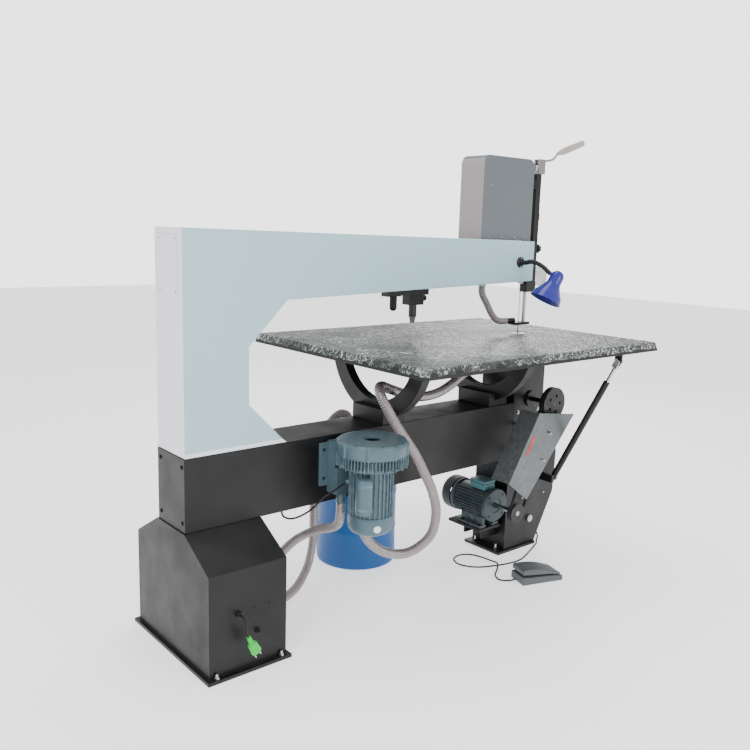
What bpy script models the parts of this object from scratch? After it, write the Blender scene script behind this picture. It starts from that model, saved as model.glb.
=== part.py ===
"""Large throat scroll saw with a tilting table, belt drive, dust blower and drill head.

Metres, +Z up. Origin on the floor at the centre of the rear pedestal, +X towards the blade.
"""
import math
from bisect import bisect_right

import bmesh
import bpy
from mathutils import Matrix, Vector

# Frame -----------------------------------------------------------------------------------------
GAP = 0.0003                     # between faces that touch
RUNNING = 0.0006                 # radial clearance of shafts and pins
SHEET = 0.002                    # thin covers
WALL = 0.008                     # welded box sections
FRAME_HALF_WIDTH = 0.095         # column, arm and beam
COLUMN_BACK = -0.136
COLUMN_HEIGHT = 1.400
THROAT_BACK = 0.097
THROAT_CHAMFER = 0.147
ARM_FRONT = 1.497
ARM_FRONT_TOP = 1.378
ARM_ROOT_UNDERSIDE = 1.172
ARM_FRONT_UNDERSIDE = 1.211
BEAM_BOTTOM = 0.440
BEAM_TOP = 0.685
COLUMN_COVER = dict(half_width=0.062, low=1.195, high=1.377)

# Feet ------------------------------------------------------------------------------------------
PLATE = 0.012
PEDESTAL_HALF_LENGTH = 0.1425
PEDESTAL_HALF_WIDTH = 0.255
PEDESTAL_SHOULDER = 0.350
FLANGE_LIP_X = 0.0125
FLANGE_LIP_Y = 0.018
FRONT_FOOT_BACK = 1.3695
FRONT_FOOT_HALF_WIDTH = 0.104
UPRIGHT_BACK = 1.414
UPRIGHT_FRONT = 1.745
UPRIGHT_TOE = 1.620
UPRIGHT_TOP = 0.600

# Table and trunnions ---------------------------------------------------------------------------
TABLE_BACK = 0.499
TABLE_FRONT = 1.829
TABLE_HALF_WIDTH = 0.500
TABLE_TOP = 0.975
TABLE_SKIN = 0.008
TABLE_DEPTH = 0.035
RIM_FLARE = 0.010
RING_RADIUS = 0.278
RING_INNER = 0.212
RING_WIDTH = 0.040
RING_PLACES = (0.734, 1.324)
SADDLE_HALF_LENGTH = 0.055
SADDLE_HALF_WIDTH = 0.092
SADDLE_TOP = 0.742
INSERT_RADIUS = 0.030
INSERT_THICKNESS = 0.003

# Blade drive -----------------------------------------------------------------------------------
BLADE_X = 1.534
STROKE = 0.040
CRANK_Z = 0.693
CONROD_LENGTH = 0.087
SHAFT_RADIUS = 0.010
PLUNGER_RADIUS = 0.009
CRANK_DISC_RADIUS = 0.045
HOUSING_BACK = 1.4246
HOUSING_FRONT = 1.621
HOUSING_TOP = 0.930
BLADE_TOP = 1.205
MOTOR_X = 1.334
MOTOR_Z = 0.240
MOTOR_RADIUS = 0.074
MOTOR_BACK_Y = 0.105
MOTOR_FRONT_Y = -0.105
COWL_DEPTH = 0.060
SHELF_TOP = 0.134
SHELF_THICKNESS = 0.012
MOTOR_SHAFT_RADIUS = 0.0105
BELT_Y = -0.215
BELT_WIDTH = 0.017
BIG_PULLEY_RADIUS = 0.071
SMALL_PULLEY_RADIUS = 0.042
GROOVE_DEPTH = 0.009
PULLEY_WIDTH = 0.026
GUARD_FACE_Y = -0.262
GUARD_DEPTH = 0.095

# Head ------------------------------------------------------------------------------------------
COVER_BACK = 1.194
HEAD_SEAT_GAP = 0.0004            # over the arm, at the back of the cover
COVER_FRONT = 1.504
COVER_HALF_WIDTH = 0.064
COVER_TOP = 1.716
RAIL_BACK = 1.580
RAIL_FRONT = 1.612
RAIL_HALF_WIDTH = 0.016
RAIL_LOW = 1.200
RAIL_HIGH = 1.665
GUIDE_X = 1.565
GUIDE_RADIUS = 0.008
FOOT_TOP = 1.024
KNOB_Z = 1.345
LEVER_PIVOT = (1.612, 0.0, 1.716)

# Blower, drum and hoses ------------------------------------------------------------------------
BLOWER_X = 0.502
BLOWER_Y = -0.245
BLOWER_RADIUS = 0.131
BLOWER_TOP = 0.6955
BLOWER_MOTOR_RADIUS = 0.080
DRUM_X = 0.861
DRUM_Y = 0.275
DRUM_RADIUS = 0.1715
DRUM_HEIGHT = 0.470
HOSE_RADIUS = 0.0195
LOOP_HOSE_RADIUS = 0.0175
UPPER_HOSE_RADIUS = 0.0145
CABLE_RADIUS = 0.0035
PORT_ONE = (0.455, -0.133, 0.440)
PORT_TWO = (0.540, -0.133, 0.440)
DRUM_PORT = (0.800, 0.262, 0.560)
DUST_NOZZLE = (1.375, -0.030, 0.872)
ARM_PORT = (1.285, 0.0, 1.186)

# Glands ----------------------------------------------------------------------------------------
GLAND_HEIGHT = 0.012
BEAM_GLAND = (0.262, -0.042)
CORD_EXIT = (-0.040, 0.206)
FOOT_CABLE_EXIT = (1.657, -0.060, 0.0563)
BLOWER_CABLE_EXIT = (0.4285, -0.1875, 0.530)

# Lamp ------------------------------------------------------------------------------------------
LAMP_BASE = (1.410, -FRAME_HALF_WIDTH, 1.291)
LAMP_JOINT = (1.440, -0.226, 1.254)
LAMP_DOME = (1.463, -0.262, 1.262)
LAMP_RIM = (1.406, -0.240, 1.145)
SHADE_RADIUS = 0.066
LAMP_BASE_RADIUS = 0.023
LAMP_NECK_RADIUS = 0.0095
LAMP_JOINT_GAP = 0.0068           # leaves room for the shade to tilt

# Pedal -----------------------------------------------------------------------------------------
PEDAL_CENTRE = (1.318, -0.362)
PEDAL_TURN = math.radians(-18)
PEDAL_LENGTH = 0.190
PEDAL_WIDTH = 0.096

# Table strut -----------------------------------------------------------------------------------
STRUT_X = 1.604
STRUT_PIN_RADIUS = 0.006
STRUT_LUG_BORE = 0.0102
STRUT_FOOT = (STRUT_X, -0.195, 0.345)
STRUT_HEAD = (STRUT_X, -0.478, 0.908)

FINISHES = {
    "pale_blue": ((0.45, 0.58, 0.61), 0.35, 0.0),
    "white": ((0.80, 0.80, 0.84), 0.40, 0.0),
    "black_paint": ((0.012, 0.012, 0.014), 0.40, 0.0),
    "black_plastic": ((0.015, 0.015, 0.016), 0.50, 0.0),
    "head_grey": ((0.21, 0.23, 0.24), 0.35, 0.3),
    "guard_grey": ((0.13, 0.15, 0.16), 0.35, 0.4),
    "blower_grey": ((0.14, 0.22, 0.26), 0.45, 0.2),
    "motor_grey": ((0.07, 0.12, 0.14), 0.50, 0.2),
    "table_steel": ((0.16, 0.17, 0.15), 0.35, 0.7),
    "bright_steel": ((0.62, 0.62, 0.63), 0.22, 1.0),
    "dark_steel": ((0.09, 0.09, 0.095), 0.40, 0.8),
    "chrome": ((0.80, 0.80, 0.80), 0.08, 1.0),
    "drum_blue": ((0.012, 0.13, 0.38), 0.45, 0.0),
    "lamp_blue": ((0.055, 0.06, 0.38), 0.30, 0.0),
    "hose_plastic": ((0.33, 0.27, 0.27), 0.30, 0.0),
    "rubber": ((0.012, 0.012, 0.012), 0.70, 0.0),
    "pedal_grey": ((0.17, 0.18, 0.19), 0.60, 0.0),
    "plug_green": ((0.02, 0.55, 0.07), 0.40, 0.0),
    "glass": ((0.85, 0.85, 0.80), 0.10, 0.0),
    "clear_plastic": ((0.75, 0.76, 0.76), 0.20, 0.0),
}


# Scene and helpers -----------------------------------------------------------------------------
def start_scene():
    for old in list(bpy.data.objects):
        bpy.data.objects.remove(old, do_unlink=True)
    parts = bpy.data.collections.new("scroll_saw")
    tools = bpy.data.collections.new("cutters")
    bpy.context.scene.collection.children.link(parts)
    bpy.context.scene.collection.children.link(tools)
    return parts, tools


PARTS, TOOLS = start_scene()


def finish_material(key):
    found = bpy.data.materials.get(key)
    if found:
        return found
    colour, roughness, metallic = FINISHES[key]
    made = bpy.data.materials.new(key)
    made.use_nodes = True
    shader = made.node_tree.nodes["Principled BSDF"]
    shader.inputs["Base Color"].default_value = (*colour, 1.0)
    shader.inputs["Roughness"].default_value = roughness
    shader.inputs["Metallic"].default_value = metallic
    return made


def pivot(name, place):
    empty = bpy.data.objects.new(name, None)
    empty.location = place
    PARTS.objects.link(empty)
    return empty


def part(name, obj, finish, parent=None):
    """Names a shape, gives it its finish and hangs it on its joint's empty."""
    obj.name = name
    obj.data.name = name
    TOOLS.objects.unlink(obj)
    PARTS.objects.link(obj)
    obj.hide_render = False
    obj.display_type = "TEXTURED"
    obj.data.materials.clear()
    obj.data.materials.append(finish_material(finish))
    if parent:
        obj.parent = parent
        obj.matrix_parent_inverse = Matrix.Translation(parent.location).inverted()
    return obj


def shape(mesh_name, bm, matrix, smooth=False):
    """A new object from a bmesh. It is a hidden tool until part() names it."""
    mesh = bpy.data.meshes.new(mesh_name)
    bm.to_mesh(mesh)
    bm.free()
    if smooth:
        mesh.shade_smooth()
        mesh.set_sharp_from_angle(angle=math.radians(40))
    obj = bpy.data.objects.new(mesh_name, mesh)
    obj.matrix_world = matrix
    TOOLS.objects.link(obj)
    obj.hide_render = True
    obj.display_type = "WIRE"
    return obj


def block(low, high):
    low, high = Vector(low), Vector(high)
    bm = bmesh.new()
    bmesh.ops.create_cube(bm, size=1.0)
    bmesh.ops.scale(bm, vec=high - low, verts=bm.verts)
    return shape("block", bm, Matrix.Translation((low + high) / 2))


def bar(start, end, radius, segments=24, end_radius=None):
    """A round bar, or a cone, between two points."""
    start, end = Vector(start), Vector(end)
    bm = bmesh.new()
    bmesh.ops.create_cone(bm, cap_ends=True, segments=segments, radius1=radius,
                          radius2=radius if end_radius is None else end_radius,
                          depth=(end - start).length)
    turn = (end - start).to_track_quat("Z", "Y").to_matrix().to_4x4()
    return shape("bar", bm, Matrix.Translation((start + end) / 2) @ turn, smooth=True)


def turned(profile, base, towards=(0, 0, 1), steps=28, closed=False):
    """A profile of (radius, height) points, top to bottom down its outer side, turned round."""
    bm = bmesh.new()
    points = [bm.verts.new((radius, 0, height)) for radius, height in profile]
    pairs = list(zip(points, points[1:]))
    if closed:
        pairs.append((points[-1], points[0]))
    for pair in pairs:
        bm.edges.new(pair)
    turn = Vector(towards).to_track_quat("Z", "Y").to_matrix().to_4x4()
    obj = shape("turned", bm, Matrix.Translation(base) @ turn)
    screw = obj.modifiers.new("turn", "SCREW")
    screw.steps = steps
    screw.render_steps = steps
    screw.use_merge_vertices = True
    screw.merge_threshold = 0.00005
    screw.use_smooth_shade = True
    return obj


PLANES = {
    "xz": Matrix.Rotation(math.radians(90), 4, "X"),
    "yz": Matrix(((0, 0, 1, 0), (1, 0, 0, 0), (0, 1, 0, 0), (0, 0, 0, 1))),
}
ACROSS = {"xz": Vector((0, 1, 0)), "yz": Vector((1, 0, 0))}


def prism(outline, plane, low, high, smooth=False):
    """A flat outline in a plane, extruded from low to high along the plane's own axis."""
    curve = bpy.data.curves.new("outline", "CURVE")
    curve.dimensions = "2D"
    curve.fill_mode = "BOTH"
    curve.extrude = (high - low) / 2
    spline = curve.splines.new("POLY")
    spline.points.add(len(outline) - 1)
    for point, (across, up) in zip(spline.points, outline):
        point.co = (across, up, 0, 1)
    spline.use_cyclic_u = True
    guide = bpy.data.objects.new("outline", curve)
    TOOLS.objects.link(guide)
    graph = bpy.context.evaluated_depsgraph_get()
    flat = bpy.data.meshes.new_from_object(guide.evaluated_get(graph))
    bm = bmesh.new()
    bm.from_mesh(flat)
    bmesh.ops.remove_doubles(bm, verts=bm.verts, dist=0.00001)
    bmesh.ops.recalc_face_normals(bm, faces=bm.faces)
    bpy.data.objects.remove(guide)
    middle = ACROSS[plane] * (low + high) / 2
    return shape("prism", bm, Matrix.Translation(middle) @ PLANES[plane], smooth)


def cut(target, *tools):
    for tool in tools:
        modifier = target.modifiers.new("cut", "BOOLEAN")
        modifier.operation = "DIFFERENCE"
        modifier.object = tool
    return target


def join(target, *pieces):
    for piece in pieces:
        modifier = target.modifiers.new("join", "BOOLEAN")
        modifier.operation = "UNION"
        modifier.object = piece
    return target


def arc(centre, radius, start, end, steps):
    """Points on an arc, angles in degrees."""
    angles = [math.radians(start + (end - start) * i / steps) for i in range(steps + 1)]
    return [(centre[0] + radius * math.cos(a), centre[1] + radius * math.sin(a)) for a in angles]


def smooth_route(points, radius):
    """Points three diameters apart on a Catmull-Rom curve, with a short straight at each end."""
    route = [Vector(p) for p in points]
    route = [route[0] * 2 - route[1]] + route + [route[-1] * 2 - route[-2]]
    dense = []
    for a, b, c, d in zip(route, route[1:], route[2:], route[3:]):
        for i in range(24):
            t = i / 24
            dense.append(0.5 * ((2 * b) + (c - a) * t + (2 * a - 5 * b + 4 * c - d) * t * t
                                + (3 * b - a - 3 * c + d) * t ** 3))
    dense.append(route[-2])
    lengths = [0.0]
    for a, b in zip(dense, dense[1:]):
        lengths.append(lengths[-1] + (b - a).length)
    whole, end = lengths[-1], radius / 2
    count = max(2, round(whole / (radius * 6)))
    goals = [0.0] + [end + (whole - 2 * end) * i / count for i in range(count + 1)] + [whole]
    even = []
    for goal in goals:
        k = min(max(bisect_right(lengths, goal) - 1, 0), len(dense) - 2)
        share = (goal - lengths[k]) / max(lengths[k + 1] - lengths[k], 1e-9)
        even.append(dense[k].lerp(dense[k + 1], min(share, 1.0)))
    return even


def cord(name, points, radius, finish, parent=None):
    """A cable or hose as a bevelled curve along a smooth route."""
    even = smooth_route(points, radius)
    curve = bpy.data.curves.new(name, "CURVE")
    curve.dimensions = "3D"
    curve.bevel_depth = radius
    curve.bevel_resolution = 2
    curve.use_fill_caps = True
    spline = curve.splines.new("POLY")
    spline.points.add(len(even) - 1)
    for point, place in zip(spline.points, even):
        point.co = (*place, 1)
    obj = bpy.data.objects.new(name, curve)
    TOOLS.objects.link(obj)
    return part(name, obj, finish, parent)


def mirrored(points):
    """The half outline on the +Y side, closed by its mirror image."""
    return points + [(-y, z) for y, z in reversed(points)]


# Frame -----------------------------------------------------------------------------------------
def rear_pedestal():
    flange = block((-PEDESTAL_HALF_LENGTH - FLANGE_LIP_X, -PEDESTAL_HALF_WIDTH - FLANGE_LIP_Y, 0),
                   (PEDESTAL_HALF_LENGTH + FLANGE_LIP_X, PEDESTAL_HALF_WIDTH + FLANGE_LIP_Y, PLATE))
    neck = FRAME_HALF_WIDTH + 0.004
    outer = mirrored([(PEDESTAL_HALF_WIDTH, PLATE / 2), (PEDESTAL_HALF_WIDTH, PEDESTAL_SHOULDER),
                      (neck, BEAM_BOTTOM - GAP)])
    body = prism(outer, "yz", -PEDESTAL_HALF_LENGTH, PEDESTAL_HALF_LENGTH)
    inner = mirrored([(PEDESTAL_HALF_WIDTH - WALL, PLATE),
                      (PEDESTAL_HALF_WIDTH - WALL, PEDESTAL_SHOULDER - WALL / 2),
                      (neck - WALL, BEAM_BOTTOM - WALL), (neck - WALL, BEAM_BOTTOM + WALL)])
    hollow = prism(inner, "yz", WALL - PEDESTAL_HALF_LENGTH, PEDESTAL_HALF_LENGTH - WALL)
    face = -PEDESTAL_HALF_WIDTH
    stud = bar((0.032, face + WALL / 2, 0.128), (0.032, face - 0.018, 0.128), 0.006, 12)
    nut = bar((0.032, face + WALL / 2, 0.128), (0.032, face - 0.008, 0.128), 0.011, 6)
    x, z = CORD_EXIT
    relief = turned([(0.0, 0.014 + WALL / 2), (0.006, 0.014 + WALL / 2), (0.011, 0.006), (0.011, 0.0),
                     (0.0, 0.0)], (x, face + WALL / 2, z), (0, -1, 0), 16)
    part("rear_pedestal", join(cut(join(body, flange), hollow), stud, nut, relief), "black_paint")


def lower_beam():
    back, front = COLUMN_BACK, HOUSING_BACK - GAP
    tube = block((back, -FRAME_HALF_WIDTH, BEAM_BOTTOM), (front, FRAME_HALF_WIDTH, BEAM_TOP))
    inside = block((back - WALL, WALL - FRAME_HALF_WIDTH, BEAM_BOTTOM + WALL),
                   (front + WALL, FRAME_HALF_WIDTH - WALL, BEAM_TOP - WALL))
    cover = block((back - SHEET, -FRAME_HALF_WIDTH, BEAM_BOTTOM), (back + SHEET, FRAME_HALF_WIDTH, BEAM_TOP))
    gland = turned([(0.0, 0.016), (0.010, 0.016), (0.010, 0.006), (0.006, 0.0), (0.0, 0.0)],
                   (*BEAM_GLAND, BEAM_BOTTOM - GLAND_HEIGHT), steps=16)
    part("lower_beam", join(cut(tube, inside), cover, gland), "black_paint")


def frame_outline(inset):
    """Column and arm seen from the side, inset by a wall."""
    chamfer = THROAT_CHAMFER
    slope = inset * math.tan(math.radians(22.5))
    return [
        (COLUMN_BACK + inset, BEAM_TOP + GAP + inset),
        (THROAT_BACK + chamfer - inset - 2 * slope, BEAM_TOP + GAP + inset),
        (THROAT_BACK - inset, BEAM_TOP + GAP + chamfer),
        (THROAT_BACK - inset, ARM_ROOT_UNDERSIDE - chamfer + slope),
        (THROAT_BACK + chamfer - slope, ARM_ROOT_UNDERSIDE + inset),
        (ARM_FRONT - inset, ARM_FRONT_UNDERSIDE + inset),
        (ARM_FRONT - inset, ARM_FRONT_TOP - inset),
        (COLUMN_BACK + inset, COLUMN_HEIGHT - inset),
    ]


def upper_frame():
    sheet = 0.006
    shell = prism(frame_outline(0.0), "xz", -FRAME_HALF_WIDTH, FRAME_HALF_WIDTH)
    hollow = prism(frame_outline(sheet), "xz", sheet - FRAME_HALF_WIDTH, FRAME_HALF_WIDTH - sheet)
    lip = 0.010
    window = block((COLUMN_BACK - sheet, lip - COLUMN_COVER["half_width"], COLUMN_COVER["low"] + lip),
                   (COLUMN_BACK + 2 * sheet, COLUMN_COVER["half_width"] - lip,
                    COLUMN_COVER["high"] - lip))
    x, y, z = ARM_PORT
    port = bar((x, y, z), (x, y, ARM_FRONT_UNDERSIDE - 0.005), UPPER_HOSE_RADIUS + 0.002, 20)
    part("upper_frame", join(cut(shell, hollow, window), port), "pale_blue")
    cover = block((COLUMN_BACK - GAP - SHEET, -COLUMN_COVER["half_width"], COLUMN_COVER["low"]),
                  (COLUMN_BACK - GAP, COLUMN_COVER["half_width"], COLUMN_COVER["high"]))
    part("column_rear_cover", cover, "white")


def upright_outline(inset):
    return [
        (UPRIGHT_BACK + inset, PLATE / 2),
        (UPRIGHT_TOE - inset, PLATE / 2),
        (UPRIGHT_FRONT - 0.007 - inset, 0.231),
        (UPRIGHT_FRONT - inset, 0.420),
        (UPRIGHT_FRONT - 0.036 - inset, 0.555),
        (UPRIGHT_FRONT - 0.085 - inset / 2, UPRIGHT_TOP - inset),
        (HOUSING_BACK + inset, UPRIGHT_TOP - inset),
        (HOUSING_BACK + inset, BEAM_BOTTOM - GAP - inset),
        (UPRIGHT_BACK + inset, BEAM_BOTTOM - GAP - inset),
    ]


def front_upright():
    body = prism(upright_outline(0.0), "xz", -FRAME_HALF_WIDTH, FRAME_HALF_WIDTH)
    low_edge = [(x, z - PLATE if z < PLATE else z) for x, z in upright_outline(WALL)]
    hollow = prism(low_edge, "xz", WALL - FRAME_HALF_WIDTH, FRAME_HALF_WIDTH - WALL)
    foot = block((FRONT_FOOT_BACK, -FRONT_FOOT_HALF_WIDTH, 0),
                 (UPRIGHT_TOE + 0.001, FRONT_FOOT_HALF_WIDTH, PLATE))
    shelf = block((MOTOR_X - 0.067, -0.078, SHELF_TOP - SHELF_THICKNESS),
                  (UPRIGHT_BACK + 0.002, 0.112, SHELF_TOP))
    gussets = [block((UPRIGHT_BACK - 0.100, y - 0.005, SHELF_TOP - 0.060),
                     (UPRIGHT_BACK + 0.002, y + 0.005, SHELF_TOP - 0.004)) for y in (-0.045, 0.055)]
    y, z = STRUT_FOOT[1:]
    ear = block((STRUT_X - 0.030, y - 0.016, z - 0.018),
                (STRUT_X - 0.015, 0.002 - FRAME_HALF_WIDTH, z + 0.016))
    pad = block((STRUT_X - 0.040, -FRAME_HALF_WIDTH - 0.010, z - 0.035),
                (STRUT_X + 0.030, 0.002 - FRAME_HALF_WIDTH, z + 0.035))
    strut_pin = bar((STRUT_X - 0.017, y, z), (STRUT_X + 0.014, y, z), STRUT_PIN_RADIUS, 16)
    toe, knee = Vector(upright_outline(0.0)[1]), Vector(upright_outline(0.0)[2])
    face_slope = (knee - toe).normalized()
    out_of_face = Vector((face_slope.y, 0, -face_slope.x))
    gland_end = Vector(FOOT_CABLE_EXIT)
    gland = bar(gland_end, gland_end - out_of_face * (GLAND_HEIGHT + 0.006), 0.009, 12, 0.011)
    body = join(cut(join(body, foot), hollow), shelf, *gussets, ear, pad, strut_pin, gland)
    part("front_upright", body, "black_paint")


def drive_housing():
    low = UPRIGHT_TOP + GAP
    body = block((HOUSING_BACK, -FRAME_HALF_WIDTH, low), (HOUSING_FRONT, FRAME_HALF_WIDTH, HOUSING_TOP))
    inside = block((HOUSING_BACK + WALL, WALL - FRAME_HALF_WIDTH, low + WALL),
                   (HOUSING_FRONT - WALL, FRAME_HALF_WIDTH - WALL, HOUSING_TOP + WALL))
    shaft_hole = bar((BLADE_X, -FRAME_HALF_WIDTH - WALL, CRANK_Z),
                     (BLADE_X, WALL * 2 - FRAME_HALF_WIDTH, CRANK_Z), 0.022)
    front = -FRAME_HALF_WIDTH - 0.0095
    bearing = turned([(0.0235, 0.030), (0.0235, 0.0105), (0.036, 0.0105), (0.036, 0.0),
                      (SHAFT_RADIUS + RUNNING, 0.0), (SHAFT_RADIUS + RUNNING, 0.030)],
                     (BLADE_X, front, CRANK_Z), (0, 1, 0), 28, True)
    plate_z = CRANK_Z + STROKE / 2 + CONROD_LENGTH + 0.055
    plate = block((HOUSING_BACK + WALL / 2, WALL / 2 - FRAME_HALF_WIDTH, plate_z),
                  (HOUSING_FRONT - WALL / 2, FRAME_HALF_WIDTH - WALL / 2, plate_z + 0.014))
    bore = bar((BLADE_X, 0, plate_z - WALL), (BLADE_X, 0, plate_z + 3 * WALL), PLUNGER_RADIUS + RUNNING)
    chip_slot = block((HOUSING_BACK + 0.030, 0.035, plate_z - WALL),
                      (HOUSING_FRONT - 0.030, 0.070, plate_z + 3 * WALL))
    x, y, z = DUST_NOZZLE
    nozzle = join(block((HOUSING_BACK - 0.006, y - 0.026, z - 0.026),
                        (HOUSING_BACK + 0.002, y + 0.026, z + 0.026)),
                  bar((x, y, z), (HOUSING_BACK, y, z), HOSE_RADIUS - 0.001, 20))
    housing = join(cut(body, inside, shaft_hole), bearing, cut(plate, bore, chip_slot), nozzle)
    part("drive_housing", housing, "black_paint")


# Table -----------------------------------------------------------------------------------------
def table(hinge):
    bm = bmesh.new()
    bmesh.ops.create_cube(bm, size=1.0)
    length, width = TABLE_FRONT - TABLE_BACK, TABLE_HALF_WIDTH * 2
    bmesh.ops.scale(bm, vec=(length, width, TABLE_DEPTH), verts=bm.verts)
    for vert in bm.verts:
        if vert.co.z < 0:
            vert.co.x += math.copysign(RIM_FLARE, vert.co.x)
            vert.co.y += math.copysign(RIM_FLARE, vert.co.y)
    middle = ((TABLE_BACK + TABLE_FRONT) / 2, 0, TABLE_TOP - TABLE_DEPTH / 2)
    top = shape("table", bm, Matrix.Translation(middle))
    rim = 0.012
    pan = block((TABLE_BACK + rim, rim - TABLE_HALF_WIDTH, TABLE_TOP - TABLE_DEPTH - rim),
                (TABLE_FRONT - rim, TABLE_HALF_WIDTH - rim, TABLE_TOP - TABLE_SKIN))
    top = cut(top, pan)
    ribs = [block((TABLE_BACK + rim / 2, y - 0.005, TABLE_TOP - TABLE_DEPTH + 0.008),
                  (TABLE_FRONT - rim / 2, y + 0.005, TABLE_TOP - TABLE_SKIN / 2))
            for y in (-0.36, 0.36)]
    lug = prism([(STRUT_HEAD[1] - 0.016, STRUT_HEAD[2] - 0.004), (STRUT_HEAD[1], STRUT_HEAD[2] - 0.016),
                 (STRUT_HEAD[1] + 0.016, STRUT_HEAD[2] - 0.004),
                 (STRUT_HEAD[1] + 0.016, TABLE_TOP - TABLE_SKIN / 2),
                 (STRUT_HEAD[1] - 0.016, TABLE_TOP - TABLE_SKIN / 2)],
                "yz", STRUT_X - 0.004, STRUT_X + 0.004)
    lug_hole = bar((STRUT_X - 0.01, *STRUT_HEAD[1:]), (STRUT_X + 0.01, *STRUT_HEAD[1:]), STRUT_LUG_BORE, 16)
    blade_hole = bar((BLADE_X, 0, TABLE_TOP - TABLE_DEPTH), (BLADE_X, 0, TABLE_TOP + 0.01),
                     INSERT_RADIUS - 0.005, 28)
    recess = bar((BLADE_X, 0, TABLE_TOP - INSERT_THICKNESS - GAP), (BLADE_X, 0, TABLE_TOP + 0.01),
                 INSERT_RADIUS + GAP, 28)
    part("table_top", cut(join(top, *ribs, lug), lug_hole, blade_hole, recess), "table_steel", hinge)
    insert = bar((BLADE_X, 0, TABLE_TOP - INSERT_THICKNESS), (BLADE_X, 0, TABLE_TOP - GAP),
                 INSERT_RADIUS, 28)
    slot = block((BLADE_X - 0.012, -0.003, TABLE_TOP - 0.02), (BLADE_X + 0.012, 0.003, TABLE_TOP + 0.02))
    part("table_insert", cut(insert, slot), "bright_steel", hinge)
    seat = TABLE_TOP - TABLE_SKIN - GAP
    drop = TABLE_TOP - seat
    for number, place in enumerate(RING_PLACES, 1):
        outer_end = math.degrees(math.asin(drop / RING_RADIUS))
        inner_end = math.degrees(math.asin(drop / RING_INNER))
        outline = arc((0, TABLE_TOP), RING_RADIUS, -180 + outer_end, -outer_end, 36)
        outline += arc((0, TABLE_TOP), RING_INNER, -inner_end, -180 + inner_end, 30)
        ring = prism(outline, "yz", place - RING_WIDTH / 2, place + RING_WIDTH / 2, smooth=True)
        part(f"trunnion_ring_{number}", ring, "black_paint", hinge)


def saddles():
    for number, place in enumerate(RING_PLACES, 1):
        body = block((place - SADDLE_HALF_LENGTH, -SADDLE_HALF_WIDTH, BEAM_TOP + GAP),
                     (place + SADDLE_HALF_LENGTH, SADDLE_HALF_WIDTH, SADDLE_TOP))
        track = bar((place - RING_WIDTH / 2 - 0.001, 0, TABLE_TOP),
                    (place + RING_WIDTH / 2 + 0.001, 0, TABLE_TOP), RING_RADIUS + 0.001, 96)
        part(f"trunnion_saddle_{number}", cut(body, track), "black_paint")


def strut(swing, slide):
    foot, head = Vector(STRUT_FOOT), Vector(STRUT_HEAD)
    along = (head - foot).normalized()
    length = (head - foot).length
    eye = bar((STRUT_X - 0.009, *STRUT_FOOT[1:]), (STRUT_X + 0.009, *STRUT_FOOT[1:]), 0.015, 20)
    barrel = bar(foot + along * 0.006, foot + along * 0.525, 0.0135, 20)
    bore = bar(foot + along * 0.040, foot + along * 0.600, 0.0085, 20)
    pin_hole = bar((STRUT_X - 0.02, *STRUT_FOOT[1:]), (STRUT_X + 0.02, *STRUT_FOOT[1:]),
                   STRUT_PIN_RADIUS + RUNNING, 16)
    part("strut_tube", cut(join(barrel, eye), bore, pin_hole), "black_paint", swing)
    rod = bar(foot + along * 0.130, foot + along * (length - 0.026), 0.0075, 20)
    fork_side = along.cross(Vector((1, 0, 0)))
    fork = prism([(-0.012, -0.030), (0.012, -0.030), (0.012, 0.010), (-0.012, 0.010)], "yz",
                 -0.0115, 0.0115)
    turn = Matrix((Vector((1, 0, 0)), fork_side, along)).transposed().to_4x4()
    fork.matrix_world = Matrix.Translation(head) @ turn @ PLANES["yz"]
    throat = block((STRUT_X - 0.0055, -0.03, -0.016), (STRUT_X + 0.0055, 0.03, 0.03))
    throat.matrix_world = Matrix.Translation(head) @ turn @ Matrix.Translation((0, 0, 0.007))
    pin = bar((STRUT_X - 0.009, *STRUT_HEAD[1:]), (STRUT_X + 0.009, *STRUT_HEAD[1:]), 0.0040, 12)
    part("strut_rod", join(cut(join(rod, fork), throat), pin), "bright_steel", slide)


# Blade drive -----------------------------------------------------------------------------------
def blade_line(slide):
    wrist_z = CRANK_Z + STROKE / 2 + CONROD_LENGTH
    shaft_top = wrist_z + 0.120
    plunger = bar((BLADE_X, 0, wrist_z - 0.011), (BLADE_X, 0, shaft_top), PLUNGER_RADIUS)
    slot = block((BLADE_X - 0.02, -0.0063, wrist_z - 0.03), (BLADE_X + 0.02, 0.0063, wrist_z + 0.0145))
    pin = bar((BLADE_X, -0.0082, wrist_z), (BLADE_X, 0.0082, wrist_z), 0.004, 16)
    blade_low = shaft_top + 0.012
    chuck = block((BLADE_X - 0.011, -0.009, shaft_top - 0.002), (BLADE_X + 0.011, 0.009, shaft_top + 0.034))
    kerf = block((BLADE_X - 0.006, -0.0007, blade_low - 0.001), (BLADE_X + 0.006, 0.0007, blade_low + 0.05))
    part("lower_plunger", join(cut(plunger, slot), pin, cut(chuck, kerf)), "bright_steel", slide)
    blade = block((BLADE_X - 0.004, -0.0004, blade_low), (BLADE_X + 0.004, 0.0004, BLADE_TOP))
    part("saw_blade", blade, "bright_steel", slide)
    chuck = block((BLADE_X - 0.012, -0.009, BLADE_TOP - 0.012), (BLADE_X + 0.012, 0.009, BLADE_TOP + 0.030))
    kerf = block((BLADE_X - 0.006, -0.0007, BLADE_TOP - 0.02), (BLADE_X + 0.006, 0.0007, BLADE_TOP + 0.001))
    plunger = bar((BLADE_X, 0, BLADE_TOP + 0.028), (BLADE_X, 0, RAIL_HIGH), PLUNGER_RADIUS)
    part("upper_plunger", join(plunger, cut(chuck, kerf)), "bright_steel", slide)
    return wrist_z


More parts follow.
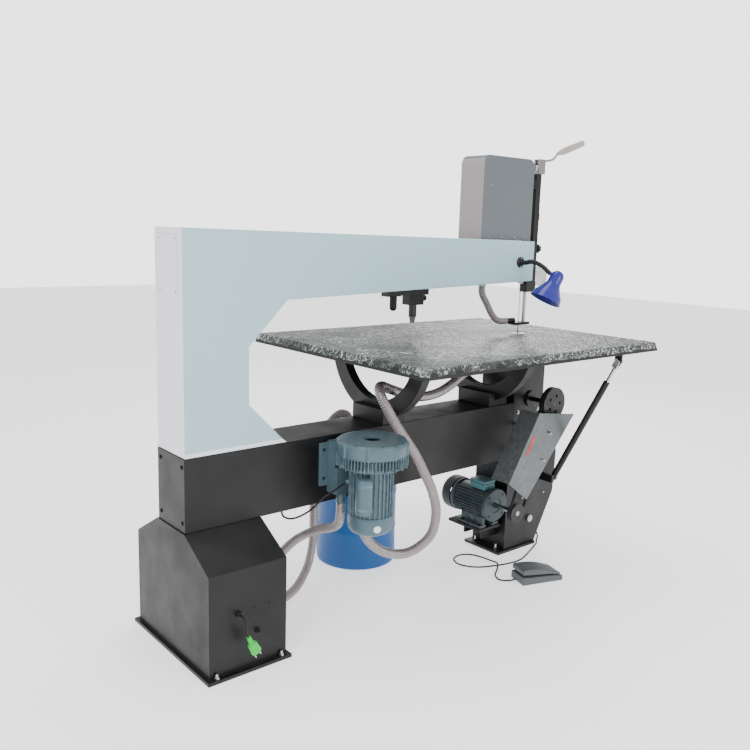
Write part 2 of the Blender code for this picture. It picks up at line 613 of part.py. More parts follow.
def conrod(swing, wrist_z):
    pin_z = wrist_z - CONROD_LENGTH
    small = bar((BLADE_X, -0.005, wrist_z), (BLADE_X, 0.005, wrist_z), 0.011, 20)
    big = bar((BLADE_X, -0.005, pin_z), (BLADE_X, 0.005, pin_z), 0.015, 20)
    shank = block((BLADE_X - 0.006, -0.004, pin_z), (BLADE_X + 0.006, 0.004, wrist_z))
    holes = [bar((BLADE_X, -0.02, z), (BLADE_X, 0.02, z), radius, 16)
             for z, radius in ((wrist_z, 0.004 + RUNNING), (pin_z, 0.0075))]
    part("connecting_rod", cut(join(shank, small, big), *holes), "dark_steel", swing)


def crank(spin):
    disc_low, disc_high = -0.024, -0.012
    inner_end = BELT_Y - PULLEY_WIDTH / 2
    shaft = bar((BLADE_X, inner_end, CRANK_Z), (BLADE_X, disc_low + 0.002, CRANK_Z), SHAFT_RADIUS)
    disc = bar((BLADE_X, disc_low, CRANK_Z), (BLADE_X, disc_high, CRANK_Z), CRANK_DISC_RADIUS, 32)
    pin = bar((BLADE_X, disc_low, CRANK_Z + STROKE / 2), (BLADE_X, -0.0065, CRANK_Z + STROKE / 2), 0.006, 16)
    part("crank_shaft", join(disc, shaft, pin), "dark_steel", spin)


def pulley(name, place, radius, bore, finish, parent, holes=0):
    """A grooved pulley round the Y axis."""
    half = PULLEY_WIDTH / 2
    groove = BELT_WIDTH / 2 + 0.001
    profile = [(bore, half), (radius, half), (radius, groove), (radius - GROOVE_DEPTH, groove - 0.003),
               (radius - GROOVE_DEPTH, 0.003 - groove), (radius, -groove), (radius, -half), (bore, -half)]
    wheel = turned(profile, (place[0], BELT_Y, place[1]), (0, 1, 0), 28, True)
    for i in range(holes):
        angle = 2 * math.pi * i / holes
        x = place[0] + radius * 0.5 * math.cos(angle)
        z = place[1] + radius * 0.5 * math.sin(angle)
        cut(wheel, bar((x, BELT_Y - PULLEY_WIDTH, z), (x, BELT_Y + PULLEY_WIDTH, z), 0.0065, 12))
    part(name, wheel, finish, parent)


def belt_outline(small, big):
    """The two pulleys' arcs and the straight runs between them."""
    run = Vector((BLADE_X - MOTOR_X, CRANK_Z - MOTOR_Z))
    heading = math.degrees(math.atan2(run.y, run.x))
    lean = math.degrees(math.asin((big - small) / run.length))
    top = arc((BLADE_X, CRANK_Z), big, heading - 90 - lean, heading + 90 + lean, 18)
    low = arc((MOTOR_X, MOTOR_Z), small, heading + 90 + lean, heading + 270 - lean, 12)
    return top + low


def drive_belt():
    big = BIG_PULLEY_RADIUS - GROOVE_DEPTH + 0.0012
    small = SMALL_PULLEY_RADIUS - GROOVE_DEPTH + 0.0012
    thickness = 0.007
    low, high = BELT_Y - BELT_WIDTH / 2 + 0.003, BELT_Y + BELT_WIDTH / 2 - 0.003
    loop = prism(belt_outline(small + thickness, big + thickness), "xz", low, high, smooth=True)
    inside = prism(belt_outline(small, big), "xz", low - 0.01, high + 0.01)
    part("drive_belt", cut(loop, inside), "rubber")


def drive_motor(spin):
    body = bar((MOTOR_X, MOTOR_FRONT_Y, MOTOR_Z), (MOTOR_X, MOTOR_BACK_Y, MOTOR_Z), MOTOR_RADIUS, 36)
    feet = block((MOTOR_X - 0.062, -0.072, SHELF_TOP + GAP), (MOTOR_X + 0.062, 0.060, MOTOR_Z - 0.055))
    box = block((MOTOR_X - 0.040, -0.070, MOTOR_Z + 0.05), (MOTOR_X + 0.030, 0.020, MOTOR_Z + 0.104))
    bore = bar((MOTOR_X, -0.2, MOTOR_Z), (MOTOR_X, 0.2, MOTOR_Z), MOTOR_SHAFT_RADIUS + RUNNING, 20)
    part("drive_motor", cut(join(body, feet, box), bore), "motor_grey")
    skin = 0.0015
    cowl = turned([(0.030, COWL_DEPTH), (MOTOR_RADIUS - 0.008, COWL_DEPTH), (MOTOR_RADIUS + 0.002, 0.045),
                   (MOTOR_RADIUS + 0.002, 0.0), (MOTOR_RADIUS + 0.002 - skin, 0.0),
                   (MOTOR_RADIUS + 0.002 - skin, 0.045 - skin), (MOTOR_RADIUS - 0.009, COWL_DEPTH - skin),
                   (0.030, COWL_DEPTH - skin)],
                  (MOTOR_X, MOTOR_BACK_Y + GAP, MOTOR_Z), (0, 1, 0), 28, True)
    part("motor_fan_cowl", cowl, "dark_steel")
    shaft = bar((MOTOR_X, BELT_Y - PULLEY_WIDTH / 2, MOTOR_Z), (MOTOR_X, MOTOR_BACK_Y + 0.033, MOTOR_Z),
                MOTOR_SHAFT_RADIUS, 20)
    hub = bar((MOTOR_X, MOTOR_BACK_Y + 0.010, MOTOR_Z), (MOTOR_X, MOTOR_BACK_Y + 0.034, MOTOR_Z), 0.020, 20)
    fan = []
    centre = Vector((MOTOR_X, MOTOR_BACK_Y + 0.022, MOTOR_Z))
    for i in range(3):
        blade = block((-0.060, -0.010, -0.002), (0.060, 0.010, 0.002))
        blade.matrix_world = Matrix.Translation(centre) @ Matrix.Rotation(math.pi * i / 3, 4, "Y")
        fan.append(blade)
    part("motor_shaft", join(shaft, hub, *fan), "bright_steel", spin)


def belt_guard():
    face = [(1.391, 0.676), (1.222, 0.400), (1.342, 0.310), (1.628, 0.644)]
    front = prism(face, "xz", GUARD_FACE_Y - SHEET, GUARD_FACE_Y)
    fold, low = Vector(face[0]), Vector(face[1])
    side = (low - fold).orthogonal().normalized() * SHEET
    if side.x < 0:
        side = -side
    strip = [tuple(fold), tuple(low), tuple(low + side), tuple(fold + side)]
    flange = prism(strip, "xz", GUARD_FACE_Y - SHEET, GUARD_FACE_Y + GUARD_DEPTH)
    posts = [bar((x, GUARD_FACE_Y - SHEET / 2, z), (x, -FRAME_HALF_WIDTH - GAP, z), 0.007, 16)
             for x, z in ((1.462, 0.583), (1.430, 0.470))]
    part("belt_guard", join(front, flange, *posts), "guard_grey")


# Head ------------------------------------------------------------------------------------------
def arm_top_at(x):
    """Height of the arm's sloping top at a place along it."""
    share = (ARM_FRONT - x) / (ARM_FRONT - COLUMN_BACK)
    return ARM_FRONT_TOP + (COLUMN_HEIGHT - ARM_FRONT_TOP) * share


def head():
    arm_top = arm_top_at(COVER_BACK) + HEAD_SEAT_GAP
    corner = 0.034
    outline = [(COVER_BACK, arm_top), (COVER_FRONT, arm_top)]
    outline += arc((COVER_FRONT - corner, COVER_TOP - corner), corner, 0, 90, 6)
    outline += arc((COVER_BACK + corner, COVER_TOP - corner), corner, 90, 180, 6)
    cover = prism(outline, "xz", -COVER_HALF_WIDTH, COVER_HALF_WIDTH)
    inner = corner - SHEET
    hollow = [(COVER_BACK + SHEET, arm_top - 0.02), (COVER_FRONT + 0.02, arm_top - 0.02),
              (COVER_FRONT + 0.02, COVER_TOP - corner)]
    hollow += arc((COVER_FRONT - corner, COVER_TOP - corner), inner, 0, 90, 6)
    hollow += arc((COVER_BACK + corner, COVER_TOP - corner), inner, 90, 180, 6)
    hollow = prism(hollow, "xz", SHEET - COVER_HALF_WIDTH, COVER_HALF_WIDTH - SHEET)
    part("head_cover", cut(cover, hollow), "head_grey")
    column = block((1.400, -0.045, arm_top), (COVER_FRONT - 0.0005, 0.045, RAIL_HIGH - 0.010))
    pocket = block((1.390, -0.037, arm_top + WALL), (COVER_FRONT - 0.016, 0.037, RAIL_HIGH - 0.022))
    top_bracket = block((COVER_FRONT - 0.010, -0.024, 1.600), (RAIL_BACK - GAP, 0.024, 1.640))
    top_bore = bar((BLADE_X, 0, 1.590), (BLADE_X, 0, 1.650), PLUNGER_RADIUS + RUNNING)
    part("head_column", cut(join(cut(column, pocket), top_bracket), top_bore), "dark_steel")
    nose = block((ARM_FRONT + GAP, -0.024, 1.280), (RAIL_BACK - GAP, 0.024, 1.345))
    holes = [bar((BLADE_X, 0, 1.270), (BLADE_X, 0, 1.355), PLUNGER_RADIUS + RUNNING),
             bar((GUIDE_X, 0, 1.270), (GUIDE_X, 0, 1.355), GUIDE_RADIUS + RUNNING)]
    part("nose_bracket", cut(nose, *holes), "dark_steel")
    rail = block((RAIL_BACK, -RAIL_HALF_WIDTH, RAIL_LOW), (RAIL_FRONT, RAIL_HALF_WIDTH, RAIL_HIGH))
    stop = block((RAIL_FRONT - 0.002, -0.010, 1.468), (RAIL_FRONT + 0.010, 0.010, 1.498))
    clamp = block((GUIDE_X - 0.014, -0.020, 1.156), (RAIL_FRONT, 0.020, RAIL_LOW + 0.002))
    bore = bar((GUIDE_X, 0, 1.14), (GUIDE_X, 0, 1.22), GUIDE_RADIUS + RUNNING)
    part("head_rail", join(rail, stop, cut(clamp, bore)), "black_paint")
    shield = join(block((1.652, -0.045, 1.180), (1.655, 0.030, 1.268)),
                  block((RAIL_FRONT + GAP, -0.006, 1.235), (1.653, 0.006, 1.247)))
    part("chip_shield", shield, "clear_plastic")


def hold_down(slide):
    guide = bar((GUIDE_X, 0, FOOT_TOP + GAP), (GUIDE_X, 0, 1.400), GUIDE_RADIUS)
    part("guide_bar", guide, "bright_steel", slide)
    plate = block((1.490, -0.022, FOOT_TOP - 0.011), (1.585, 0.022, FOOT_TOP))
    slot = block((BLADE_X - 0.009, -0.0035, FOOT_TOP - 0.03), (BLADE_X + 0.009, 0.0035, FOOT_TOP + 0.03))
    pipe = bar((1.450, 0, FOOT_TOP + 0.008), (1.500, 0, FOOT_TOP + 0.008), UPPER_HOSE_RADIUS - 0.002, 16)
    part("hold_down_foot", cut(join(plate, pipe), slot), "black_paint", slide)


def controls(knob_spin, lever_hinge):
    stem = 0.010
    knob = bar((RAIL_FRONT + GAP, 0, KNOB_Z), (RAIL_FRONT + stem + 0.002, 0, KNOB_Z), 0.006, 16)
    cap = bar((RAIL_FRONT + stem, 0, KNOB_Z), (RAIL_FRONT + stem + 0.022, 0, KNOB_Z), 0.0155, 20)
    lobes = [bar((RAIL_FRONT + stem + 0.003, 0.0135 * math.cos(a), KNOB_Z + 0.0135 * math.sin(a)),
                 (RAIL_FRONT + stem + 0.019, 0.0135 * math.cos(a), KNOB_Z + 0.0135 * math.sin(a)), 0.006, 10)
             for a in [2 * math.pi * i / 5 for i in range(5)]]
    part("clamp_knob", join(knob, cap, *lobes), "black_plastic", knob_spin)
    px, py, pz = LEVER_PIVOT
    base = block((RAIL_BACK + 0.012, -0.015, RAIL_HIGH + GAP), (RAIL_FRONT + 0.022, 0.015, pz + 0.012))
    slot = block((RAIL_BACK, -0.0075, RAIL_HIGH + 0.016), (RAIL_FRONT + 0.04, 0.0075, pz + 0.03))
    pin = bar((px, -0.012, pz), (px, 0.012, pz), 0.004, 12)
    part("lever_block", join(cut(base, slot), pin), "chrome")
    eye = bar((px, -0.0068, pz), (px, 0.0068, pz), 0.011, 20)
    arm_one = bar((px, 0, pz), (1.702, 0, 1.733), 0.0055, 16)
    arm_two = bar((1.698, 0, 1.731), (1.738, 0, 1.765), 0.0055, 16)
    grip = bar((1.730, 0, 1.760), (1.912, 0, 1.822), 0.0165, 20, 0.0145)
    hole = bar((px, -0.02, pz), (px, 0.02, pz), 0.004 + RUNNING, 12)
    part("blade_release_lever", cut(join(arm_one, eye, arm_two, grip), hole), "chrome", lever_hinge)


# Lamp ------------------------------------------------------------------------------------------
def lamp(neck_pivot, head_pivot):
    x, y, z = LAMP_BASE
    base = join(bar((x, y - GAP, z), (x, y - 0.006, z), LAMP_BASE_RADIUS, 28),
                bar((x, y - 0.005, z), (x, y - 0.016, z), LAMP_NECK_RADIUS + 0.003, 20))
    part("lamp_base", base, "black_paint")
    points = [(x, y - 0.0165, z), (x, y - 0.032, z), (x + 0.001, y - 0.055, z + 0.005),
              (x + 0.007, y - 0.080, z + 0.001),
              (x + 0.017, y - 0.105, z - 0.012), LAMP_JOINT]
    neck = cord("lamp_neck", points, LAMP_NECK_RADIUS, "black_plastic", neck_pivot)
    neck.data.bevel_resolution = 3
    dome, rim = Vector(LAMP_DOME), Vector(LAMP_RIM)
    axis = (dome - rim).normalized()
    tall = (dome - rim).length
    skin = 0.0015
    outer = [(0.0, tall), (0.014, tall - 0.003), (0.024, tall - 0.011), (0.028, tall - 0.024),
             (0.029, tall - 0.055), (0.034, tall - 0.068), (0.050, tall - 0.096), (SHADE_RADIUS, 0.0)]
    inner = [(SHADE_RADIUS - skin, 0.0), (0.0485, tall - 0.096), (0.032, tall - 0.069),
             (0.0265, tall - 0.054), (0.0255, tall - 0.026), (0.021, tall - 0.015), (0.0, tall - 0.008)]
    shade = turned(outer + inner, LAMP_RIM, axis, 24)
    joint = Vector(LAMP_JOINT)
    inward = (rim + axis * (joint - rim).dot(axis) - joint)
    reach = inward.length - 0.0278
    inward.normalize()
    knuckle = bar(joint + inward * LAMP_JOINT_GAP, joint + inward * (reach + 0.0010), 0.007, 16)
    part("lamp_shade", join(shade, knuckle), "lamp_blue", head_pivot)
    bulb = turned([(0.0, tall - 0.012), (0.012, tall - 0.014), (0.012, tall - 0.048), (0.020, tall - 0.062),
                   (0.026, tall - 0.082), (0.020, tall - 0.101), (0.0, tall - 0.108)], LAMP_RIM, axis, 16)
    part("lamp_bulb", bulb, "glass", head_pivot)


# Dust blower -----------------------------------------------------------------------------------
def blower(spin):
    low = BLOWER_TOP - 0.098
    outer = [(0.030, BLOWER_TOP), (BLOWER_RADIUS - 0.008, BLOWER_TOP), (BLOWER_RADIUS, BLOWER_TOP - 0.008),
             (BLOWER_RADIUS, BLOWER_TOP - 0.062), (BLOWER_RADIUS - 0.010, BLOWER_TOP - 0.070),
             (BLOWER_RADIUS - 0.014, low), (0.016, low), (0.016, low + 0.012),
             (BLOWER_RADIUS - 0.024, low + 0.012), (BLOWER_RADIUS - 0.018, BLOWER_TOP - 0.010),
             (0.030, BLOWER_TOP - 0.010)]
    ring = turned([(r, z - low) for r, z in outer], (BLOWER_X, BLOWER_Y, low), steps=32, closed=True)
    part("blower_housing", ring, "blower_grey")
    rotor = turned([(0.0, 0.050), (0.018, 0.050), (0.022, 0.024), (0.098, 0.024), (0.098, 0.010),
                    (0.0125, 0.010), (0.0125, -0.012), (0.0, -0.012)],
                   (BLOWER_X, BLOWER_Y, low + 0.016), steps=28)
    part("blower_rotor", rotor, "bright_steel", spin)
    motor_top, motor_low = low - GAP, low - 0.185
    radius = BLOWER_MOTOR_RADIUS + 0.003
    tall = motor_top - motor_low + 0.058
    motor = turned([(0.0, tall - 0.030), (0.016, tall - 0.030), (0.016, tall), (BLOWER_MOTOR_RADIUS, tall),
                    (BLOWER_MOTOR_RADIUS, 0.058), (radius, 0.058), (radius, 0.020), (radius - 0.012, 0.004),
                    (radius - 0.026, 0.0), (0.0, 0.0)], (BLOWER_X, BLOWER_Y, motor_low - 0.058), steps=28)
    boss = bar((0.446, -0.193, 0.539), BLOWER_CABLE_EXIT, 0.008, 12)
    part("blower_motor", join(motor, boss), "blower_grey")
    x, y = BLOWER_X - 0.088, BLOWER_Y - 0.068
    box = turned([(0.0, 0.128), (0.026, 0.128), (0.029, 0.124), (0.029, 0.004), (0.026, 0.0), (0.0, 0.0)],
                 (x, y, 0.455), steps=24)
    collar = bar((BLOWER_X, BLOWER_Y, 0.44), (BLOWER_X, BLOWER_Y, 0.61), BLOWER_MOTOR_RADIUS + GAP, 36)
    part("blower_capacitor", cut(box, collar), "blower_grey")
    face = -FRAME_HALF_WIDTH - GAP
    flange = block((0.381, face - 0.010, 0.505), (0.420, face, 0.662))
    slots = [bar((0.400, face - 0.02, z), (0.400, face + 0.01, z), 0.007, 12) for z in (0.532, 0.636)]
    flange = cut(flange, *slots)
    silencer = block((0.418, face - 0.060, 0.478), (0.590, face, 0.668))
    ports = [bar((px, py, pz), (px, py, 0.490), HOSE_RADIUS - 0.002, 20)
             for px, py, pz in (PORT_ONE, PORT_TWO)]
    clearance = bar((BLOWER_X, BLOWER_Y, low - 0.02), (BLOWER_X, BLOWER_Y, 0.75), BLOWER_RADIUS + 0.0015, 40)
    motor_room = bar((BLOWER_X, BLOWER_Y, 0.30), (BLOWER_X, BLOWER_Y, 0.75), BLOWER_MOTOR_RADIUS + 0.006, 36)
    silencer = cut(join(silencer, *ports), clearance, motor_room)
    bores = [bar((px, py, pz - 0.01), (px, py, 0.486), HOSE_RADIUS - 0.005, 20)
             for px, py, pz in (PORT_ONE, PORT_TWO)]
    part("blower_silencer", join(cut(silencer, *bores), flange), "blower_grey")


def drum():
    skin = 0.0015
    shell = turned([(0.0, skin * 3), (DRUM_RADIUS - 0.006, skin * 3), (DRUM_RADIUS - skin * 2, 0.012),
                    (DRUM_RADIUS - skin, DRUM_HEIGHT), (DRUM_RADIUS, DRUM_HEIGHT), (DRUM_RADIUS, 0.004),
                    (DRUM_RADIUS - 0.004, 0.0), (0.0, 0.0)], (DRUM_X, DRUM_Y, 0), steps=32)
    part("dust_drum", shell, "drum_blue")
    px, py, pz = DRUM_PORT
    base = DRUM_HEIGHT + GAP
    lid = turned([(0.0, 0.014), (DRUM_RADIUS - 0.012, 0.014), (DRUM_RADIUS + 0.004, 0.010),
                  (DRUM_RADIUS + 0.004, 0.0), (0.0, 0.0)], (DRUM_X, DRUM_Y, base), steps=32)
    port = bar((px, py, base + 0.004), DRUM_PORT, LOOP_HOSE_RADIUS - 0.001, 20)
    bore = bar((px, py, base - 0.02), (px, py, pz + 0.01), LOOP_HOSE_RADIUS - 0.004, 20)
    part("drum_lid", cut(join(lid, port), bore), "black_paint")


def hoses():
    x, y, z = DUST_NOZZLE
    cord("lower_dust_hose", [
        (x - GAP, y, z), (1.355, -0.030, 0.872), (1.332, -0.030, 0.872), (1.279, -0.030, 0.858),
        (1.183, -0.030, 0.832),
        (1.100, -0.038, 0.796), (1.015, -0.048, 0.770), (0.930, -0.052, 0.762), (0.842, -0.058, 0.776),
        (0.738, -0.068, 0.812), (0.668, -0.090, 0.836), (0.622, -0.135, 0.828), (0.622, -0.172, 0.780),
        (0.680, -0.180, 0.690), (0.757, -0.186, 0.590), (0.808, -0.188, 0.509), (0.858, -0.190, 0.420),
        (0.884, -0.190, 0.329), (0.869, -0.185, 0.244), (0.812, -0.172, 0.195), (0.739, -0.160, 0.182),
        (0.655, -0.146, 0.208), (0.590, -0.136, 0.262), (0.553, -0.133, 0.330), (0.540, -0.133, 0.394),
        (0.540, -0.133, 0.420),
        (PORT_TWO[0], PORT_TWO[1], PORT_TWO[2] - GAP)], HOSE_RADIUS, "hose_plastic")
    cord("drum_hose", [
        (PORT_ONE[0], PORT_ONE[1], PORT_ONE[2] - GAP), (0.455, -0.133, 0.422), (0.455, -0.133, 0.400),
        (0.462, -0.112, 0.352),
        (0.475, -0.055, 0.315), (0.470, 0.000, 0.294), (0.440, 0.040, 0.272), (0.380, 0.055, 0.246),
        (0.310, 0.045, 0.206), (0.262, 0.030, 0.140), (0.270, 0.040, 0.066), (0.325, 0.064, 0.024),
        (0.400, 0.095, 0.020), (0.470, 0.135, 0.032), (0.526, 0.162, 0.080), (0.552, 0.170, 0.160),
        (0.556, 0.170, 0.250), (0.556, 0.172, 0.350), (0.570, 0.182, 0.460), (0.612, 0.205, 0.560),
        (0.675, 0.230, 0.630), (0.740, 0.252, 0.655), (0.788, 0.261, 0.640), (0.800, 0.262, 0.602),
        (0.800, 0.262, 0.580),
        (DRUM_PORT[0], DRUM_PORT[1], DRUM_PORT[2] + GAP)], LOOP_HOSE_RADIUS, "hose_plastic")
    x, y, z = ARM_PORT
    cord("upper_dust_hose", [
        (x, y, z - GAP), (x, 0, 1.179), (x, 0, 1.171), (1.291, 0, 1.150), (1.305, 0, 1.132),
        (1.324, 0, 1.108), (1.345, 0, 1.078), (1.368, 0, 1.053), (1.396, 0, 1.037),
        (1.424, 0, FOOT_TOP + 0.008), (1.438, 0, FOOT_TOP + 0.008), (1.450 - GAP, 0, FOOT_TOP + 0.008)],
        UPPER_HOSE_RADIUS, "hose_plastic")


# Cables and small parts ------------------------------------------------------------------------
def cables():
    cord("blower_cable", [
        (0.4282, -0.1874, 0.5299), (0.416, -0.184, 0.524), (0.398, -0.181, 0.513), (0.376, -0.176, 0.502),
        (0.354, -0.170, 0.490), (0.338, -0.160, 0.470), (0.322, -0.145, 0.447), (0.306, -0.125, 0.426),
        (0.291, -0.100, 0.408), (0.277, -0.073, 0.397), (0.265, -0.050, 0.401), (0.262, -0.042, 0.417),
        (*BEAM_GLAND, BEAM_BOTTOM - GLAND_HEIGHT - GAP)], CABLE_RADIUS, "rubber")
    x, y, z = FOOT_CABLE_EXIT
    cord("foot_cable", [
        (x + GAP, y, z - GAP / 2), (x + 0.0095, y, z - 0.0052), (x + 0.0165, y - 0.006, z - 0.020),
        (x + 0.0125, y - 0.020, z - 0.040), (1.652, -0.090, 0.0055), (1.618, -0.116, 0.004),
        (1.580, -0.133, 0.004), (1.515, -0.161, 0.004), (1.419, -0.196, 0.004),
        (1.343, -0.196, 0.004), (1.258, -0.172, 0.004), (1.190, -0.137, 0.004), (1.154, -0.078, 0.004),
        (1.172, -0.024, 0.004), (1.222, -0.004, 0.004), (1.268, -0.026, 0.004), (1.290, -0.080, 0.004),
        (1.290, -0.130, 0.0065), (1.280, -0.178, 0.0125), (1.240, -0.213, 0.0065), (1.196, -0.242, 0.004),
        (1.176, -0.282, 0.004), (1.196, -0.314, 0.006), (1.2215, -0.3305, 0.012)], CABLE_RADIUS, "rubber")
    x, y, z = CORD_EXIT[0], -PEDESTAL_HALF_WIDTH, CORD_EXIT[1]
    tail = Vector((-0.034, -0.307, 0.147))
    pins = Vector((0.008, -0.307, 0.063))
    along = (pins - tail).normalized()
    cord("power_cord", [
        (x, y - 0.0143 - GAP, z), (x, y - 0.024, z), (x, y - 0.038, z - 0.004), (x, y - 0.0485, z - 0.014),
        (x, y - 0.052, z - 0.028), (x + 0.0005, y - 0.052, z - 0.043), tuple(tail - along * 0.007),
        tuple(tail - along * GAP)],
        CABLE_RADIUS, "rubber")
    body = bar(tail, tail + along * 0.030, 0.0065, 16, 0.010)
    grip = bar(tail + along * 0.028, tail + along * 0.066, 0.016, 20, 0.018)
    prongs = [bar(tail + along * 0.060 + Vector((0, side, 0)), tail + along * 0.085 + Vector((0, side, 0)),
                  0.0024, 10) for side in (-0.0095, 0.0095)]
    part("power_plug", join(grip, body, *prongs), "plug_green")


def pedal(hinge):
    place = Matrix.Translation((PEDAL_CENTRE[0], PEDAL_CENTRE[1], 0)) @ Matrix.Rotation(PEDAL_TURN, 4, "Z")
    half_l, half_w = PEDAL_LENGTH / 2, PEDAL_WIDTH / 2
    shell = [(-half_l, 0.0), (half_l, 0.0), (half_l, 0.022), (0.030, 0.0275), (-0.040, 0.030),
             (-half_l, 0.033)]
    base = prism(shell, "xz", -half_w, half_w)
    base.matrix_world = place @ base.matrix_world
    part("pedal_base", base, "pedal_grey")
    cap = [(-half_l + 0.002, 0.0425), (-0.038, 0.0375), (0.032, 0.0335), (half_l - 0.014, 0.0262),
           (half_l - 0.006, 0.0300), (0.040, 0.0480), (-0.010, 0.0600), (-0.060, 0.0640),
           (-half_l + 0.002, 0.0560)]
    top = prism(cap, "xz", 0.004 - half_w, half_w - 0.004)
    top.matrix_world = place @ top.matrix_world
    part("pedal_top", top, "pedal_grey", hinge)


def drill_unit(slide, spin):
    face = FRAME_HALF_WIDTH + GAP
    plate = block((0.850, face, 1.150), (1.070, face + 0.010, 1.290))
    front = face + 0.008
    centre_y = front + 0.025
    filter_head = block((0.852, front, 1.146), (0.925, front + 0.040, 1.180))
    body = block((0.975, front, 1.108), (1.050, front + 0.050, 1.215))
    side = bar((1.045, centre_y, 1.134), (1.078, centre_y, 1.134), 0.013, 16)
    bore = bar((1.012, centre_y, 1.090), (1.012, centre_y, 1.190), 0.0165 + RUNNING, 24)
    part("drill_body", join(cut(join(body, side), bore), plate, filter_head), "black_paint")
    bowl = turned([(0.0, 0.060), (0.015, 0.060), (0.015, 0.012), (0.010, 0.003), (0.0, 0.0)],
                  (0.900, front + 0.020, 1.146 - GAP - 0.060), steps=20)
    part("filter_bowl", bowl, "clear_plastic")
    quill = bar((1.012, centre_y, 1.058), (1.012, centre_y, 1.150), 0.0165, 24)
    part("drill_quill", quill, "dark_steel", slide)
    chuck = bar((1.012, centre_y, 1.033), (1.012, centre_y, 1.058 - GAP), 0.010, 20, 0.014)
    part("drill_chuck", chuck, "bright_steel", spin)
    return (1.012, centre_y, 1.045)


def build():
    rear_pedestal()
    lower_beam()
    upper_frame()
    front_upright()
    drive_housing()
    table(pivot("table_hinge", (RING_PLACES[0], 0, TABLE_TOP)))
    saddles()
    strut(pivot("strut_hinge", STRUT_FOOT), pivot("strut_slide", STRUT_FOOT))
    blade_slide = pivot("blade_slide", (BLADE_X, 0, CRANK_Z + STROKE / 2 + CONROD_LENGTH))
    wrist_z = blade_line(blade_slide)
    conrod(pivot("conrod_hinge", (BLADE_X, 0, wrist_z)), wrist_z)
    crank_spin = pivot("crank_spin", (BLADE_X, BELT_Y, CRANK_Z))
    crank(crank_spin)
    pulley("crank_pulley", (BLADE_X, CRANK_Z), BIG_PULLEY_RADIUS, SHAFT_RADIUS + GAP, "black_paint",
           crank_spin, holes=5)
    motor_spin = pivot("motor_spin", (MOTOR_X, BELT_Y, MOTOR_Z))
    drive_motor(motor_spin)
    pulley("motor_pulley", (MOTOR_X, MOTOR_Z), SMALL_PULLEY_RADIUS, MOTOR_SHAFT_RADIUS + GAP,
           "dark_steel", motor_spin)
    drive_belt()
    belt_guard()
    head()
    hold_down(pivot("guide_slide", (GUIDE_X, 0, FOOT_TOP)))
    controls(pivot("knob_spin", (RAIL_FRONT, 0, KNOB_Z)), pivot("lever_hinge", LEVER_PIVOT))
    lamp(pivot("lamp_neck_swivel", LAMP_BASE), pivot("lamp_head_tilt", LAMP_JOINT))
    blower(pivot("blower_spin", (BLOWER_X, BLOWER_Y, BLOWER_TOP)))
    drum()
    hoses()
    cables()
    pedal(pivot("pedal_hinge", (PEDAL_CENTRE[0] + 0.0875 * math.cos(PEDAL_TURN),
                                PEDAL_CENTRE[1] + 0.0875 * math.sin(PEDAL_TURN), 0.028)))
    drill_unit(pivot("drill_slide", (1.012, 0.13, 1.1)), pivot("drill_spin", (1.012, 0.13, 1.045)))


build()
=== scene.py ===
import math
from bisect import bisect_right

import bmesh
import bpy
from mathutils import Matrix, Vector, noise


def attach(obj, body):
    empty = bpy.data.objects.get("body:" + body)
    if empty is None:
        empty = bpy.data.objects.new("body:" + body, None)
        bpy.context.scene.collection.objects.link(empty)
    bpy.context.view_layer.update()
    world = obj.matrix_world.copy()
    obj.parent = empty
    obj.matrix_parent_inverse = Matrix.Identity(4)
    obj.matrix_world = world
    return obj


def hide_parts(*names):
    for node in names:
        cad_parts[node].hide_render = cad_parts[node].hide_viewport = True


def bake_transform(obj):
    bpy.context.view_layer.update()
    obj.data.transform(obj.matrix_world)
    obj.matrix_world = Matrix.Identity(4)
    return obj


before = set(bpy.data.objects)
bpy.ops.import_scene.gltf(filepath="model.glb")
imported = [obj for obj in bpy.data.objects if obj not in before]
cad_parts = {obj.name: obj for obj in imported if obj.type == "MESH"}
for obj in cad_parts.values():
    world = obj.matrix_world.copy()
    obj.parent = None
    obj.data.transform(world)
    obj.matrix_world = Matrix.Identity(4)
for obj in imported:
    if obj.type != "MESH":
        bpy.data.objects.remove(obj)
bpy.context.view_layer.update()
scene = bpy.context.scene
print("frame loaded:", len(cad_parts), "nodes")


# Links a node's output to the socket, or sets the socket where it's given a plain value.
def put(socket, value):
    if isinstance(value, bpy.types.NodeSocket):
        socket.id_data.links.new(value, socket)
    else:
        socket.default_value = value


def feed(node, name, value):
    put(node.inputs[name], value)


# camera, floor and light

view = {
    "place": (-1.2689, -2.3435, 1.4167),
    "yaw": 0.8693,       # from +X towards +Y
    "pitch": -0.1794,
    "roll": 0.03,
    "lens": 39.05,       # on a 36 mm sensor
}


def placeCamera():
    yaw, pitch, roll = view["yaw"], view["pitch"], view["roll"]
    ahead = Vector((math.cos(pitch) * math.cos(yaw), math.cos(pitch) * math.sin(yaw), math.sin(pitch)))
    right = Vector((math.sin(yaw), -math.cos(yaw), 0))
    up = right.cross(ahead)
    side = right * math.cos(roll) + up * math.sin(roll)
    top = up * math.cos(roll) - right * math.sin(roll)
    data = bpy.data.cameras.new("camera")
    data.lens = view["lens"]
    data.sensor_width = 36
    data.clip_end = 60
    camera = bpy.data.objects.new("camera", data)
    turn = Matrix((side, top, -ahead)).transposed().to_4x4()
    camera.matrix_world = Matrix.Translation(view["place"]) @ turn
    scene.collection.objects.link(camera)
    scene.camera = camera


